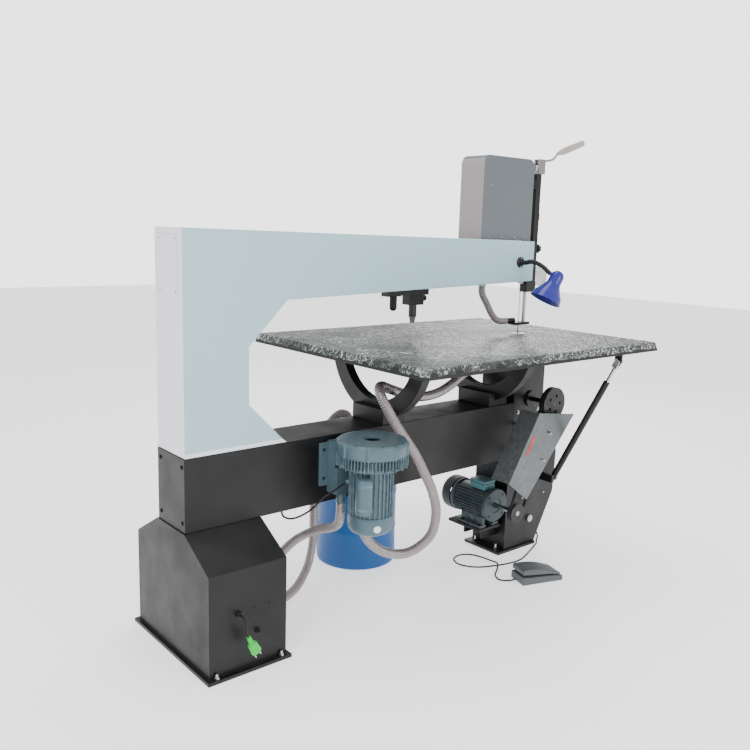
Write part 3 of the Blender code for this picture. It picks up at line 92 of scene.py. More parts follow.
studio = {
    "floorColour": (0.93, 0.93, 0.93),
    "floorGlow": 0.9,   # lifts the pale floor towards the backdrop
    "sky": (1.0, 1.0, 1.0),
    "skyStrength": 1.15,
    "backdrop": 3.0,
    "lights": [   # name, place, aims at, size, watts
        ("keyLight", (-3.6, -2.2, 3.4), (0.4, 0.0, 0.7), 2.4, 95),
        ("frontLight", (1.6, -4.2, 2.2), (1.0, 0.0, 0.7), 2.0, 50),
        ("topLight", (0.9, 0.6, 4.2), (0.8, 0.0, 0.8), 2.6, 60),
        ("rimLight", (4.2, 2.4, 2.6), (1.2, 0.0, 1.0), 1.6, 45),
    ],
}


def setStudio():
    world = bpy.data.worlds.new("studio")
    world.use_nodes = True
    tree = world.node_tree
    sky = tree.nodes["Background"]
    feed(sky, "Color", (*studio["sky"], 1))
    seen = tree.nodes.new("ShaderNodeLightPath").outputs["Is Camera Ray"]
    strength = tree.nodes.new("ShaderNodeMapRange")   # the backdrop is whiter than the light it gives
    feed(strength, "To Min", studio["skyStrength"])
    feed(strength, "To Max", studio["backdrop"])
    feed(strength, "Value", seen)
    feed(sky, "Strength", strength.outputs["Result"])
    scene.world = world
    for name, place, target, size, power in studio["lights"]:
        data = bpy.data.lights.new(name, "AREA")
        data.shape = "DISK"
        data.size = size
        data.energy = power
        light = bpy.data.objects.new(name, data)
        light.location = place
        light.rotation_euler = (Vector(target) - Vector(place)).to_track_quat("-Z", "Y").to_euler()
        scene.collection.objects.link(light)
    bm = bmesh.new()
    bmesh.ops.create_grid(bm, x_segments=2, y_segments=2, size=14)
    mesh = bpy.data.meshes.new("floor")
    bm.to_mesh(mesh)
    bm.free()
    floor = bpy.data.objects.new("floor", mesh)
    floor.location = (1, 1, -0.0006)
    scene.collection.objects.link(floor)
    paint = bpy.data.materials.new("floorPaint")
    paint.use_nodes = True
    shader = paint.node_tree.nodes["Principled BSDF"]
    feed(shader, "Base Color", (*studio["floorColour"], 1))
    feed(shader, "Roughness", 0.7)
    feed(shader, "Emission Color", (1, 1, 1, 1))
    feed(shader, "Emission Strength", studio["floorGlow"])
    mesh.materials.append(paint)


placeCamera()
setStudio()
print("camera and studio set")


# shared effects

def startGroup(name, inputs, outputs):
    group = bpy.data.node_groups.new(name, "ShaderNodeTree")
    for socket, value in inputs:
        made = group.interface.new_socket(socket, in_out="INPUT", socket_type="NodeSocketFloat")
        made.default_value = value
    for socket, kind in outputs:
        group.interface.new_socket(socket, in_out="OUTPUT", socket_type="NodeSocket" + kind)
    return group, group.nodes.new("NodeGroupInput"), group.nodes.new("NodeGroupOutput")


def mathNode(tree, operation, first, second=None, clamp=False):
    node = tree.nodes.new("ShaderNodeMath")
    node.operation = operation
    node.use_clamp = clamp
    for socket, value in zip(node.inputs, (first, second)):
        if value is not None:
            put(socket, value)
    return node.outputs[0]


def ramp(tree, value, low, high):
    node = tree.nodes.new("ShaderNodeMapRange")
    feed(node, "From Min", low)
    feed(node, "From Max", high)
    feed(node, "Value", value)
    return node.outputs["Result"]


def noiseNode(tree, scale, detail=3.0, stretch=None, roughness=0.55):
    place = tree.nodes.new("ShaderNodeTexCoord").outputs["Object"]
    if stretch:
        mapping = tree.nodes.new("ShaderNodeMapping")
        feed(mapping, "Scale", stretch)
        feed(mapping, "Vector", place)
        place = mapping.outputs["Vector"]
    node = tree.nodes.new("ShaderNodeTexNoise")
    feed(node, "Detail", detail)
    feed(node, "Roughness", roughness)
    feed(node, "Vector", place)
    feed(node, "Scale", scale)
    return node.outputs["Fac"]


def buildPaintSkin():
    # cloudy tone, blotchy gloss and the fine orange peel of sprayed paint
    group, given, out = startGroup("paintSkin", [("cloudScale", 3.0), ("peelScale", 420.0)],
                                   [("cloud", "Float"), ("gloss", "Float"), ("peel", "Float")])
    cloud = noiseNode(group, given.outputs["cloudScale"], 4)
    gloss = noiseNode(group, mathNode(group, "MULTIPLY", given.outputs["cloudScale"], 4.0), 5)
    peel = noiseNode(group, given.outputs["peelScale"], 2)
    feed(out, "cloud", ramp(group, cloud, 0.2, 0.8))
    feed(out, "gloss", ramp(group, gloss, 0.3, 0.7))
    feed(out, "peel", peel)
    return group


def buildEdgeWear():
    # bright rubbed edges, broken up by noise
    group, given, out = startGroup("edgeWear", [("amount", 0.5), ("breakUp", 60.0)], [("mask", "Float")])
    point = group.nodes.new("ShaderNodeNewGeometry").outputs["Pointiness"]
    edge = ramp(group, point, 0.56, 0.66)
    patches = ramp(group, noiseNode(group, given.outputs["breakUp"], 4), 0.45, 0.62)
    mask = mathNode(group, "MULTIPLY", edge, patches)
    mask = mathNode(group, "MULTIPLY", mask, given.outputs["amount"], clamp=True)
    feed(out, "mask", mask)
    return group


def buildDust():
    # pale dust that settles on what faces up
    group, given, out = startGroup("settledDust", [("amount", 0.3), ("patchScale", 9.0)], [("mask", "Float")])
    split = group.nodes.new("ShaderNodeSeparateXYZ")
    feed(split, 0, group.nodes.new("ShaderNodeNewGeometry").outputs["Normal"])
    upward = ramp(group, split.outputs["Z"], 0.25, 1.0)
    patches = ramp(group, noiseNode(group, given.outputs["patchScale"], 6, roughness=0.6), 0.35, 0.95)
    mask = mathNode(group, "MULTIPLY", upward, patches)
    mask = mathNode(group, "MULTIPLY", mask, given.outputs["amount"], clamp=True)
    feed(out, "mask", mask)
    return group


def buildMachining():
    # long fine lines left by grinding or brushing, along local X
    group, given, out = startGroup("machining", [("scale", 90.0)], [("lines", "Float"), ("stain", "Float")])
    lines = noiseNode(group, given.outputs["scale"], 3, stretch=(0.06, 1.0, 1.0))
    stain = noiseNode(group, 7.0, 5)
    feed(out, "lines", lines)
    feed(out, "stain", ramp(group, stain, 0.35, 0.7))
    return group


paintSkin = buildPaintSkin()
edgeWear = buildEdgeWear()
settledDust = buildDust()
machining = buildMachining()


def linear(colour):
    return tuple((c / 255 / 12.92) if c <= 10 else ((c / 255 + 0.055) / 1.055) ** 2.4 for c in colour)


def groupNode(tree, group, **values):
    node = tree.nodes.new("ShaderNodeGroup")
    node.node_tree = group
    for name, value in values.items():
        feed(node, name, value)
    return node


def mixColour(tree, mask, first, second):
    node = tree.nodes.new("ShaderNodeMix")
    node.data_type = "RGBA"
    for socket, value in ((node.inputs[6], first), (node.inputs[7], second)):
        put(socket, (*value, 1) if isinstance(value, tuple) else value)
    feed(node, 0, mask)
    return node.outputs[2]


def bumpFrom(tree, height, strength, distance):
    node = tree.nodes.new("ShaderNodeBump")
    feed(node, "Strength", strength)
    feed(node, "Distance", distance)
    feed(node, "Height", height)
    return node.outputs["Normal"]


def startMaterial(name):
    material = bpy.data.materials.new(name)
    material.use_nodes = True
    return material, material.node_tree, material.node_tree.nodes["Principled BSDF"]


def spread(tree, value, low, high):
    node = tree.nodes.new("ShaderNodeMapRange")
    feed(node, "To Min", low)
    feed(node, "To Max", high)
    feed(node, "Value", value)
    return node.outputs["Result"]


# A sprayed finish: cloudy tone, blotchy gloss, orange peel, rubbed edges and dust.
def paint(name, colour, shade=0.88, gloss=(0.32, 0.46), metallic=0.0, wear=0.4, bare=(120, 120, 122),
          dust=0.15, dustColour=(165, 160, 150), cloud=2.5, peel=420.0, peelDepth=0.00012, coat=0.0,
          shine=0.35):
    material, tree, shader = startMaterial(name)
    skin = groupNode(tree, paintSkin, cloudScale=cloud, peelScale=peel)
    base = linear(colour)
    darker = tuple(c * shade for c in base)
    tone = mixColour(tree, skin.outputs["cloud"], darker, base)
    worn = groupNode(tree, edgeWear, amount=wear, breakUp=55.0)
    tone = mixColour(tree, worn.outputs["mask"], tone, linear(bare))
    settled = groupNode(tree, settledDust, amount=dust, patchScale=8.0)
    tone = mixColour(tree, settled.outputs["mask"], tone, linear(dustColour))
    feed(shader, "Base Color", tone)
    rough = spread(tree, skin.outputs["gloss"], *gloss)
    rough = mathNode(tree, "ADD", rough, mathNode(tree, "MULTIPLY", settled.outputs["mask"], 0.4), clamp=True)
    feed(shader, "Roughness", rough)
    feed(shader, "Normal", bumpFrom(tree, skin.outputs["peel"], 0.35, peelDepth))
    feed(shader, "Metallic", metallic)
    feed(shader, "Coat Weight", coat)
    feed(shader, "Coat Roughness", 0.12)
    feed(shader, "Specular IOR Level", shine)
    return material


# Bare metal with machining lines and faint stains.
def metal(name, colour, gloss=(0.18, 0.34), lines=120.0, stained=0.8, metallic=1.0):
    material, tree, shader = startMaterial(name)
    worked = groupNode(tree, machining, scale=lines)
    base = linear(colour)
    tone = mixColour(tree, worked.outputs["stain"], tuple(c * stained for c in base), base)
    feed(shader, "Base Color", tone)
    feed(shader, "Roughness", spread(tree, worked.outputs["lines"], *gloss))
    feed(shader, "Normal", bumpFrom(tree, worked.outputs["lines"], 0.25, 0.00008))
    feed(shader, "Metallic", metallic)
    return material


# Faces that look along -X take another, lighter colour: painted light, standing in for the brighter lit back
# faces.
def paintLitBackFaces(material, facing, colour, shade):
    tree = material.node_tree
    shader = tree.nodes["Principled BSDF"]
    before = shader.inputs["Base Color"].links[0].from_socket
    split = tree.nodes.new("ShaderNodeSeparateXYZ")
    feed(split, 0, tree.nodes.new("ShaderNodeNewGeometry").outputs["Normal"])
    mask = ramp(tree, mathNode(tree, "MULTIPLY", split.outputs["X"], -1.0), facing, facing + 0.05)
    skin = groupNode(tree, paintSkin, cloudScale=2.0, peelScale=400.0)
    base = linear(colour)
    other = mixColour(tree, skin.outputs["cloud"], tuple(c * shade for c in base), base)
    feed(shader, "Base Color", mixColour(tree, mask, before, other))
    return material


# the arm's back faces take the lighter colour as painted light
armPaint = paintLitBackFaces(paint("armPaint", (166, 199, 208), 0.95, (0.38, 0.5), wear=0.15, bare=(205, 210, 212),
                         dust=0.05, cloud=1.6), 0.9, (232, 232, 243), 0.97)
# white that stands in for light: the rear cover plate and the band along the foot take the brightly lit look
# of the arm as painted light
coverPaint = paint("coverPaint", (233, 233, 243), 0.97, (0.36, 0.48), wear=0.1, bare=(190, 190, 195),
                   dust=0.02)
blackPaint = paint("blackPaint", (11, 10, 12), 0.75, (0.36, 0.52), wear=0.35, bare=(60, 58, 58), dust=0.1,
                   dustColour=(120, 118, 118), cloud=2.0)
housingPaint = paint("housingPaint", (18, 18, 20), 0.8, (0.28, 0.42), wear=0.5, bare=(110, 108, 106),
                     dust=0.2, dustColour=(130, 126, 120), cloud=6.0)
# the head's back faces take the lighter colour as painted light
headPaint = paintLitBackFaces(paint("headPaint", (102, 108, 112), 0.93, (0.34, 0.44), metallic=0.25, wear=0.2,
                          bare=(170, 170, 172), dust=0.08, cloud=2.0), 0.8, (160, 149, 150), 0.95)
guardPaint = paint("guardPaint", (98, 103, 106), 0.85, (0.28, 0.42), metallic=0.35, wear=0.9,
                   bare=(190, 190, 190), dust=0.1, cloud=7.0)
blowerPaint = paint("blowerPaint", (80, 103, 113), 0.82, (0.3, 0.45), metallic=0.1, wear=0.5,
                    bare=(150, 160, 165), dust=0.18, cloud=9.0, peel=260.0, peelDepth=0.0003)
motorPaint = paint("motorPaint", (58, 72, 74), 0.7, (0.32, 0.5), metallic=0.15, wear=0.5,
                   bare=(130, 135, 138), dust=0.3, cloud=9.0, peel=240.0, peelDepth=0.0003)
boxPaint = paint("terminalBoxPaint", (72, 118, 122), 0.75, (0.3, 0.45), wear=0.5, bare=(140, 150, 150),
                 dust=0.3)
drumPlastic = paint("drumPlastic", (10, 84, 150), 0.72, (0.34, 0.5), wear=0.1, bare=(60, 130, 190),
                    dust=0.15, dustColour=(110, 130, 150), cloud=3.5, peel=150.0, peelDepth=0.0004)
lidPlastic = paint("lidPlastic", (26, 27, 30), 0.8, (0.38, 0.52), wear=0.1, dust=0.25, peel=300.0)
lampEnamel = paint("lampEnamel", (38, 42, 138), 0.85, (0.2, 0.28), wear=0.1, bare=(90, 95, 180), dust=0.0,
                   cloud=12.0, coat=0.25)
blackPlastic = paint("blackPlastic", (20, 20, 21), 0.8, (0.38, 0.52), wear=0.15, bare=(60, 60, 60),
                     dust=0.12, peel=600.0)
rubberSkin = paint("rubberSkin", (18, 17, 18), 0.8, (0.45, 0.6), wear=0.0, dust=0.15, peel=900.0)
footCableSkin = paint("footCableSkin", (52, 40, 42), 0.7, (0.4, 0.55), wear=0.0, dust=0.2, cloud=14.0)
pedalPlastic = paint("pedalPlastic", (84, 88, 91), 0.88, (0.45, 0.6), wear=0.2, bare=(140, 144, 148),
                     dust=0.12, cloud=14.0, peel=500.0, peelDepth=0.0003)
plugPlastic = paint("plugPlastic", (38, 196, 66), 0.8, (0.28, 0.4), wear=0.1, bare=(120, 220, 130),
                    dust=0.03, cloud=30.0)
beltRubber = paint("beltRubber", (24, 24, 25), 0.7, (0.55, 0.7), wear=0.3, bare=(60, 60, 60), dust=0.2,
                   cloud=30.0)
bulbGlass = paint("bulbGlass", (238, 238, 230), 0.96, (0.15, 0.22), wear=0.0, dust=0.05)
stripeRed = paint("stripeRed", (186, 32, 48), 0.8, (0.35, 0.5), wear=0.3, bare=(210, 120, 120), dust=0.05,
                  cloud=40.0)
labelWhite = paint("labelWhite", (228, 230, 228), 0.93, (0.3, 0.45), wear=0.0, dust=0.05, cloud=40.0)
groundSteel = metal("groundSteel", (176, 176, 178))
brightSteel = metal("brightSteel", (196, 196, 197), (0.12, 0.24))
darkSteel = metal("darkSteel", (74, 74, 77), (0.28, 0.45))
blackedSteel = metal("blackedSteel", (34, 34, 36), (0.3, 0.45), metallic=0.7)
castAluminium = metal("castAluminium", (150, 152, 154), (0.3, 0.5), 60.0)
chrome = metal("chromePlate", (168, 166, 167), (0.06, 0.14), 40.0, 0.85)
wireSteel = metal("wireSteel", (150, 148, 146), (0.2, 0.35))


def clearMaterial(name, colour, alpha, gloss):
    material, tree, shader = startMaterial(name)
    skin = groupNode(tree, paintSkin, cloudScale=16.0, peelScale=200.0)
    base = linear(colour)
    tone = mixColour(tree, skin.outputs["cloud"], tuple(c * 0.85 for c in base), base)
    feed(shader, "Base Color", tone)
    feed(shader, "Roughness", spread(tree, skin.outputs["gloss"], *gloss))
    feed(shader, "Alpha", spread(tree, skin.outputs["cloud"], alpha - 0.06, alpha + 0.06))
    feed(shader, "Normal", bumpFrom(tree, skin.outputs["peel"], 0.3, 0.0002))
    return material


hosePlastic = clearMaterial("hosePlastic", (158, 146, 148), 0.9, (0.18, 0.32))
clearPlastic = clearMaterial("clearPlastic", (214, 216, 218), 0.55, (0.1, 0.22))
print("finishes made:", len(bpy.data.materials))


# modelling helpers

def addPiece(name, bm, material, body, bevel=0.0, segments=2, angle=38, slots=()):
    bmesh.ops.recalc_face_normals(bm, faces=bm.faces)
    mesh = bpy.data.meshes.new(name)
    bm.to_mesh(mesh)
    bm.free()
    mesh.shade_smooth()
    mesh.set_sharp_from_angle(angle=math.radians(angle))
    piece = bpy.data.objects.new(name, mesh)
    scene.collection.objects.link(piece)
    for one in (material, *slots):
        mesh.materials.append(one)
    if bevel:
        rounding = piece.modifiers.new("rounded", "BEVEL")
        rounding.width = bevel
        rounding.segments = segments
        rounding.limit_method = "ANGLE"
        rounding.angle_limit = math.radians(32)
        rounding.harden_normals = True
    if body:
        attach(piece, body)
    return piece


def toAxis(place, direction):
    turn = Vector(direction).to_track_quat("Z", "Y").to_matrix().to_4x4()
    return Matrix.Translation(place) @ turn


def addBox(bm, low, high, matrix=None):
    low, high = Vector(low), Vector(high)
    made = bmesh.ops.create_cube(bm, size=1.0)["verts"]
    bmesh.ops.scale(bm, vec=high - low, verts=made)
    bmesh.ops.translate(bm, vec=(low + high) / 2, verts=made)
    if matrix:
        bmesh.ops.transform(bm, matrix=matrix, verts=made)
    return made


# Turns (radius, height) points, top to bottom, round local Z. shape(angle, radius, height) may lobe it.
def addTurned(bm, profile, matrix, steps=48, shape=None):
    rings = []
    for radius, height in profile:
        if radius < 1e-6:
            rings.append([bm.verts.new(matrix @ Vector((0, 0, height)))])
            continue
        ring = []
        for i in range(steps):
            angle = 2 * math.pi * i / steps
            r = shape(angle, radius, height) if shape else radius
            ring.append(bm.verts.new(matrix @ Vector((r * math.cos(angle), r * math.sin(angle), height))))
        rings.append(ring)
    for upper, lower in zip(rings, rings[1:]):
        for i in range(steps):
            j = (i + 1) % steps
            if len(upper) == 1 and len(lower) > 1:
                bm.faces.new((upper[0], lower[i], lower[j]))
            elif len(lower) == 1 and len(upper) > 1:
                bm.faces.new((upper[i], lower[0], upper[j]))
            elif len(upper) > 1:
                bm.faces.new((upper[i], lower[i], lower[j], upper[j]))
    if len(rings[0]) > 1 and len(rings[-1]) > 1:
        for i in range(steps):
            j = (i + 1) % steps
            bm.faces.new((rings[-1][i], rings[0][i], rings[0][j], rings[-1][j]))
    return rings


def turnedPiece(name, node, material, body, matrix, profile, steps, angle, shape=None):
    bm = bmesh.new()
    addTurned(bm, profile, matrix, steps, shape)
    return stand(addPiece(name, bm, material, body, angle=angle), node)


# Extrudes a flat outline of (across, up) points. Plane xz runs along Y, yz along X and xy along Z.
def addPrism(bm, outline, plane, low, high):
    def place(a, b, c):
        return {"xz": (a, c, b), "yz": (c, a, b), "xy": (a, b, c)}[plane]

    first = [bm.verts.new(place(a, b, low)) for a, b in outline]
    last = [bm.verts.new(place(a, b, high)) for a, b in outline]
    bm.faces.new(first)
    bm.faces.new(last)
    count = len(outline)
    for i in range(count):
        j = (i + 1) % count
        bm.faces.new((first[i], first[j], last[j], last[i]))
    return first + last


def arc(centre, radius, start, end, steps):
    angles = [math.radians(start + (end - start) * i / steps) for i in range(steps + 1)]
    return [(centre[0] + radius * math.cos(a), centre[1] + radius * math.sin(a)) for a in angles]


# Even points on a Catmull-Rom curve through the route, with a short straight at each end.
def smoothRoute(points, spacing, squareEnd):
    route = [Vector(p) for p in points]
    route = [route[0] * 2 - route[1]] + route + [route[-1] * 2 - route[-2]]
    dense = []
    for a, b, c, d in zip(route, route[1:], route[2:], route[3:]):
        for i in range(32):
            t = i / 32
            dense.append(0.5 * ((2 * b) + (c - a) * t + (2 * a - 5 * b + 4 * c - d) * t * t
                                + (3 * b - a - 3 * c + d) * t ** 3))
    dense.append(route[-2])
    lengths = [0.0]
    for a, b in zip(dense, dense[1:]):
        lengths.append(lengths[-1] + (b - a).length)
    whole = lengths[-1]
    count = max(2, round((whole - 2 * squareEnd) / spacing))
    goals = [0.0] + [squareEnd + (whole - 2 * squareEnd) * i / count for i in range(count + 1)] + [whole]
    even = []
    for goal in goals:
        k = min(max(bisect_right(lengths, goal) - 1, 0), len(dense) - 2)
        share = (goal - lengths[k]) / max(lengths[k + 1] - lengths[k], 1e-9)
        even.append(dense[k].lerp(dense[k + 1], min(share, 1.0)))
    return even, whole


# A tube along a path on a frame that doesn't twist, with closed ends.
def addTube(bm, path, radiusAt, sides, materialAt=None):
    tangents = []
    for i in range(len(path)):
        before, after = path[max(i - 1, 0)], path[min(i + 1, len(path) - 1)]
        tangents.append((after - before).normalized())
    across = tangents[0].orthogonal().normalized()
    rings = []
    for i, (point, along) in enumerate(zip(path, tangents)):
        across = (across - along * across.dot(along)).normalized()
        side = along.cross(across)
        ring = []
        for k in range(sides):
            angle = 2 * math.pi * k / sides
            r = radiusAt(i, k)
            ring.append(bm.verts.new(point + (across * math.cos(angle) + side * math.sin(angle)) * r))
        rings.append(ring)
    for i, (first, second) in enumerate(zip(rings, rings[1:])):
        for k in range(sides):
            m = (k + 1) % sides
            face = bm.faces.new((first[k], second[k], second[m], first[m]))
            if materialAt:
                face.material_index = materialAt(i, k)
    bm.faces.new(rings[0])
    bm.faces.new(rings[-1])
    return rings


# A hex head on a washer, with a domed top.
def addBolt(bm, place, direction, radius, height, washer=0.0):
    matrix = toAxis(place, direction)
    if washer:
        disc = [(0, 0.0012), (washer * 0.92, 0.0012), (washer, 0.0006), (washer, 0), (0, 0)]
        addTurned(bm, disc, matrix, 24)
    points = [(0, height), (radius * 0.8, height), (radius, height * 0.82), (radius, 0.001), (0, 0.001)]
    addTurned(bm, points, matrix, 6)


# A pan head screw with a hollow drive.
def addScrew(bm, place, direction, radius, height):
    matrix = toAxis(place, direction)
    profile = [(0, height * 0.45), (radius * 0.3, height * 0.45), (radius * 0.34, height),
               (radius * 0.72, height * 0.92), (radius * 0.95, height * 0.55), (radius, 0), (0, 0)]
    addTurned(bm, profile, matrix, 20)


def finishNode(node, material):
    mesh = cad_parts[node].data
    mesh.materials.clear()
    mesh.materials.append(material)


def stand(piece, *nodes):
    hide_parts(*nodes)
    return piece


# hoses and cables

hoses = {
    "lowerDustHose": {
        "node": "lower_dust_hose", "radius": 0.0195, "pitch": 0.0085,
        "route": [
            (1.3747, -0.03, 0.872), (1.355, -0.03, 0.872), (1.332, -0.03, 0.872), (1.279, -0.03, 0.858),
            (1.183, -0.03, 0.832), (1.1, -0.038, 0.796), (1.015, -0.048, 0.77), (0.93, -0.052, 0.762),
            (0.842, -0.058, 0.776), (0.738, -0.068, 0.812), (0.668, -0.09, 0.836), (0.622, -0.135, 0.828),
            (0.622, -0.172, 0.78), (0.68, -0.18, 0.69), (0.757, -0.186, 0.59), (0.808, -0.188, 0.509),
            (0.858, -0.19, 0.42), (0.884, -0.19, 0.329), (0.869, -0.185, 0.244), (0.812, -0.172, 0.195),
            (0.739, -0.16, 0.182), (0.655, -0.146, 0.208), (0.59, -0.136, 0.262), (0.553, -0.133, 0.33),
            (0.54, -0.133, 0.394), (0.54, -0.133, 0.42), (0.54, -0.133, 0.4397)],
    },
    "drumHose": {
        "node": "drum_hose", "radius": 0.0175, "pitch": 0.008,
        "route": [
            (0.455, -0.133, 0.4397), (0.455, -0.133, 0.422), (0.455, -0.133, 0.4), (0.462, -0.112, 0.352),
            (0.475, -0.055, 0.315), (0.47, 0.000, 0.294), (0.44, 0.04, 0.272), (0.38, 0.055, 0.246),
            (0.31, 0.045, 0.206), (0.262, 0.03, 0.14), (0.27, 0.04, 0.066), (0.325, 0.064, 0.024),
            (0.4, 0.095, 0.02), (0.47, 0.135, 0.032), (0.526, 0.162, 0.08), (0.552, 0.17, 0.16),
            (0.556, 0.17, 0.25), (0.556, 0.172, 0.35), (0.57, 0.182, 0.46), (0.612, 0.205, 0.56),
            (0.675, 0.23, 0.63), (0.74, 0.252, 0.655), (0.788, 0.261, 0.64), (0.8, 0.262, 0.602),
            (0.8, 0.262, 0.58), (0.8, 0.262, 0.5603)],
    },
    "upperDustHose": {
        "node": "upper_dust_hose", "radius": 0.0145, "pitch": 0.007,
        "route": [
            (1.285, 0, 1.1857), (1.285, 0, 1.179), (1.285, 0, 1.171), (1.291, 0, 1.15), (1.305, 0, 1.132),
            (1.324, 0, 1.108), (1.345, 0, 1.078), (1.368, 0, 1.053), (1.396, 0, 1.037), (1.424, 0, 1.032),
            (1.438, 0, 1.032), (1.4497, 0, 1.032)],
    },
}


def makeHose(name, facts):
    # a thin wall drawn over a wire helix: the ridge of each turn is the wire
    perTurn, sides = 4, 20
    spacing = facts["pitch"] / perTurn
    path, length = smoothRoute(facts["route"], spacing, facts["radius"] * 0.3)
    proud = facts["radius"] * 0.055

    def turnPhase(i, k):
        return (i + perTurn * k / sides) % perTurn / perTurn

    def radiusAt(i, k):
        return facts["radius"] - proud * (1 - math.cos(2 * math.pi * turnPhase(i, k)))

    bm = bmesh.new()
    addTube(bm, path, radiusAt, sides, lambda i, k: 1 if turnPhase(i, k) < 0.24 else 0)
    piece = addPiece(name, bm, hosePlastic, None, angle=80, slots=(wireSteel,))
    stand(piece, facts["node"])
    crossesSlide = name == "upperDustHose"
    if crossesSlide:
        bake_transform(piece)
    else:
        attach(piece, "frame")


cables = {
    "blowerCable": {
        "node": "blower_cable", "lay": "hanging", "skin": rubberSkin,
        "route": [
            (0.4282, -0.1874, 0.5299), (0.416, -0.184, 0.524), (0.398, -0.181, 0.513), (0.376, -0.176, 0.502),
            (0.354, -0.17, 0.49), (0.338, -0.16, 0.47), (0.322, -0.145, 0.447), (0.306, -0.125, 0.426),
            (0.291, -0.1, 0.408), (0.277, -0.073, 0.397), (0.265, -0.05, 0.401), (0.262, -0.042, 0.417),
            (0.262, -0.042, 0.4277)],
    },
    "footCable": {
        "node": "foot_cable", "lay": "loose", "skin": footCableSkin,
        "route": [
            (1.6573, -0.06, 0.05615), (1.6665, -0.06, 0.0511), (1.6735, -0.066, 0.0363),
            (1.6695, -0.08, 0.0163), (1.652, -0.09, 0.0055), (1.618, -0.116, 0.004), (1.58, -0.133, 0.004),
            (1.515, -0.161, 0.004), (1.419, -0.196, 0.004), (1.343, -0.196, 0.004), (1.258, -0.172, 0.004),
            (1.19, -0.137, 0.004), (1.154, -0.078, 0.004), (1.172, -0.024, 0.004), (1.222, -0.004, 0.004),
            (1.268, -0.026, 0.004), (1.29, -0.08, 0.004), (1.29, -0.13, 0.0065), (1.28, -0.178, 0.0125),
            (1.24, -0.213, 0.0065), (1.196, -0.242, 0.004), (1.176, -0.282, 0.004), (1.196, -0.314, 0.006),
            (1.2215, -0.3305, 0.012)],
    },
}
cableRadius = 0.0035


def makeCable(name, facts):
    path, length = smoothRoute(facts["route"], 0.004, 0.0012)
    bm = bmesh.new()
    addTube(bm, path, lambda i, k: cableRadius, 14)
    piece = addPiece(name, bm, facts["skin"], "frame", angle=80)
    stand(piece, facts["node"])


plug = {"tail": (-0.034, -0.307, 0.147), "towards": (0.042, 0.0, -0.084), "pinSpread": 0.0095}


def makePowerCord():
    tail, along = Vector(plug["tail"]), Vector(plug["towards"]).normalized()
    route = [(-0.04, -0.2693, 0.206), (-0.04, -0.279, 0.206), (-0.04, -0.293, 0.202), (-0.04, -0.3035, 0.192),
             (-0.04, -0.307, 0.178), (-0.0395, -0.307, 0.163), tuple(tail - along * 0.007), tuple(tail)]
    path, length = smoothRoute(route, 0.003, 0.001)
    bm = bmesh.new()
    addTube(bm, path, lambda i, k: cableRadius, 14)
    cord = addPiece("powerCord", bm, rubberSkin, "frame", angle=80)
    stand(cord, "power_cord")

    bm = bmesh.new()
    matrix = toAxis(tail, along)
    tailRibs = []
    for i in range(6):   # the ribbed sleeve behind the grip
        z = i * 0.0045
        r = 0.0068 + i * 0.0004
        tailRibs += [(r, z), (r, z + 0.0028), (0.0056 + i * 0.0004, z + 0.0032)]
    grip = [(0.01, 0.028), (0.014, 0.03), (0.016, 0.034), (0.0164, 0.048), (0.0178, 0.06), (0.018, 0.0645),
            (0.0172, 0.066), (0, 0.066)]

    def flattened(angle, radius, height):
        # two flat cheeks on the grip
        flat = 0.8 if height > 0.03 else 0.95
        return radius * (1 - (1 - flat) * math.cos(angle) ** 2)

    addTurned(bm, [(0, 0)] + tailRibs + grip, matrix, 32, flattened)
    for side in (-1, 1):
        foot = matrix @ Vector((0, side * plug["pinSpread"], 0.0655))
        addTurned(bm, [(0, 0), (0.0036, 0), (0.003, 0.0035), (0, 0.0035)], toAxis(foot, along), 16)
    body = addPiece("powerPlug", bm, plugPlastic, "frame", angle=50)
    stand(body, "power_plug")
    bm = bmesh.new()
    for side in (-1, 1):
        foot = matrix @ Vector((0, side * plug["pinSpread"], 0.066))
        pin = [(0, 0), (0.0023, 0), (0.0023, 0.0165), (0.0016, 0.0188), (0, 0.019)]
        addTurned(bm, pin, toAxis(foot, along), 16)
    pins = addPiece("plugPins", bm, brightSteel, "frame", angle=50)


for hoseName, hoseFacts in hoses.items():
    makeHose(hoseName, hoseFacts)
for cableName, cableFacts in cables.items():
    makeCable(cableName, cableFacts)
makePowerCord()
print("hoses and cables laid")


# finishes of the plain CAD pieces

nodeFinishes = {
    "groundSteel": ["lower_plunger", "upper_plunger", "guide_bar", "motor_shaft"],
    "brightSteel": ["saw_blade"],
    "darkSteel": ["crank_shaft"],
    "castAluminium": ["blower_rotor"],
    "beltRubber": ["drive_belt"],
}
for finishName, nodes in nodeFinishes.items():
    for node in nodes:
        finishNode(node, bpy.data.materials[finishName])
print("plain nodes finished")


# plates and castings, with their edges broken

# The CAD shape with its flat faces joined up and its edges broken.
def rounded(name, node, material, bevel, body="frame", segments=2, angle=38):
    bm = bmesh.new()
    bm.from_mesh(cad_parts[node].data)
    bmesh.ops.remove_doubles(bm, verts=bm.verts, dist=1e-6)
    bmesh.ops.dissolve_limit(bm, angle_limit=math.radians(0.5), verts=bm.verts, edges=bm.edges)
    piece = addPiece(name, bm, material, body, bevel, segments, angle)
    return stand(piece, node)


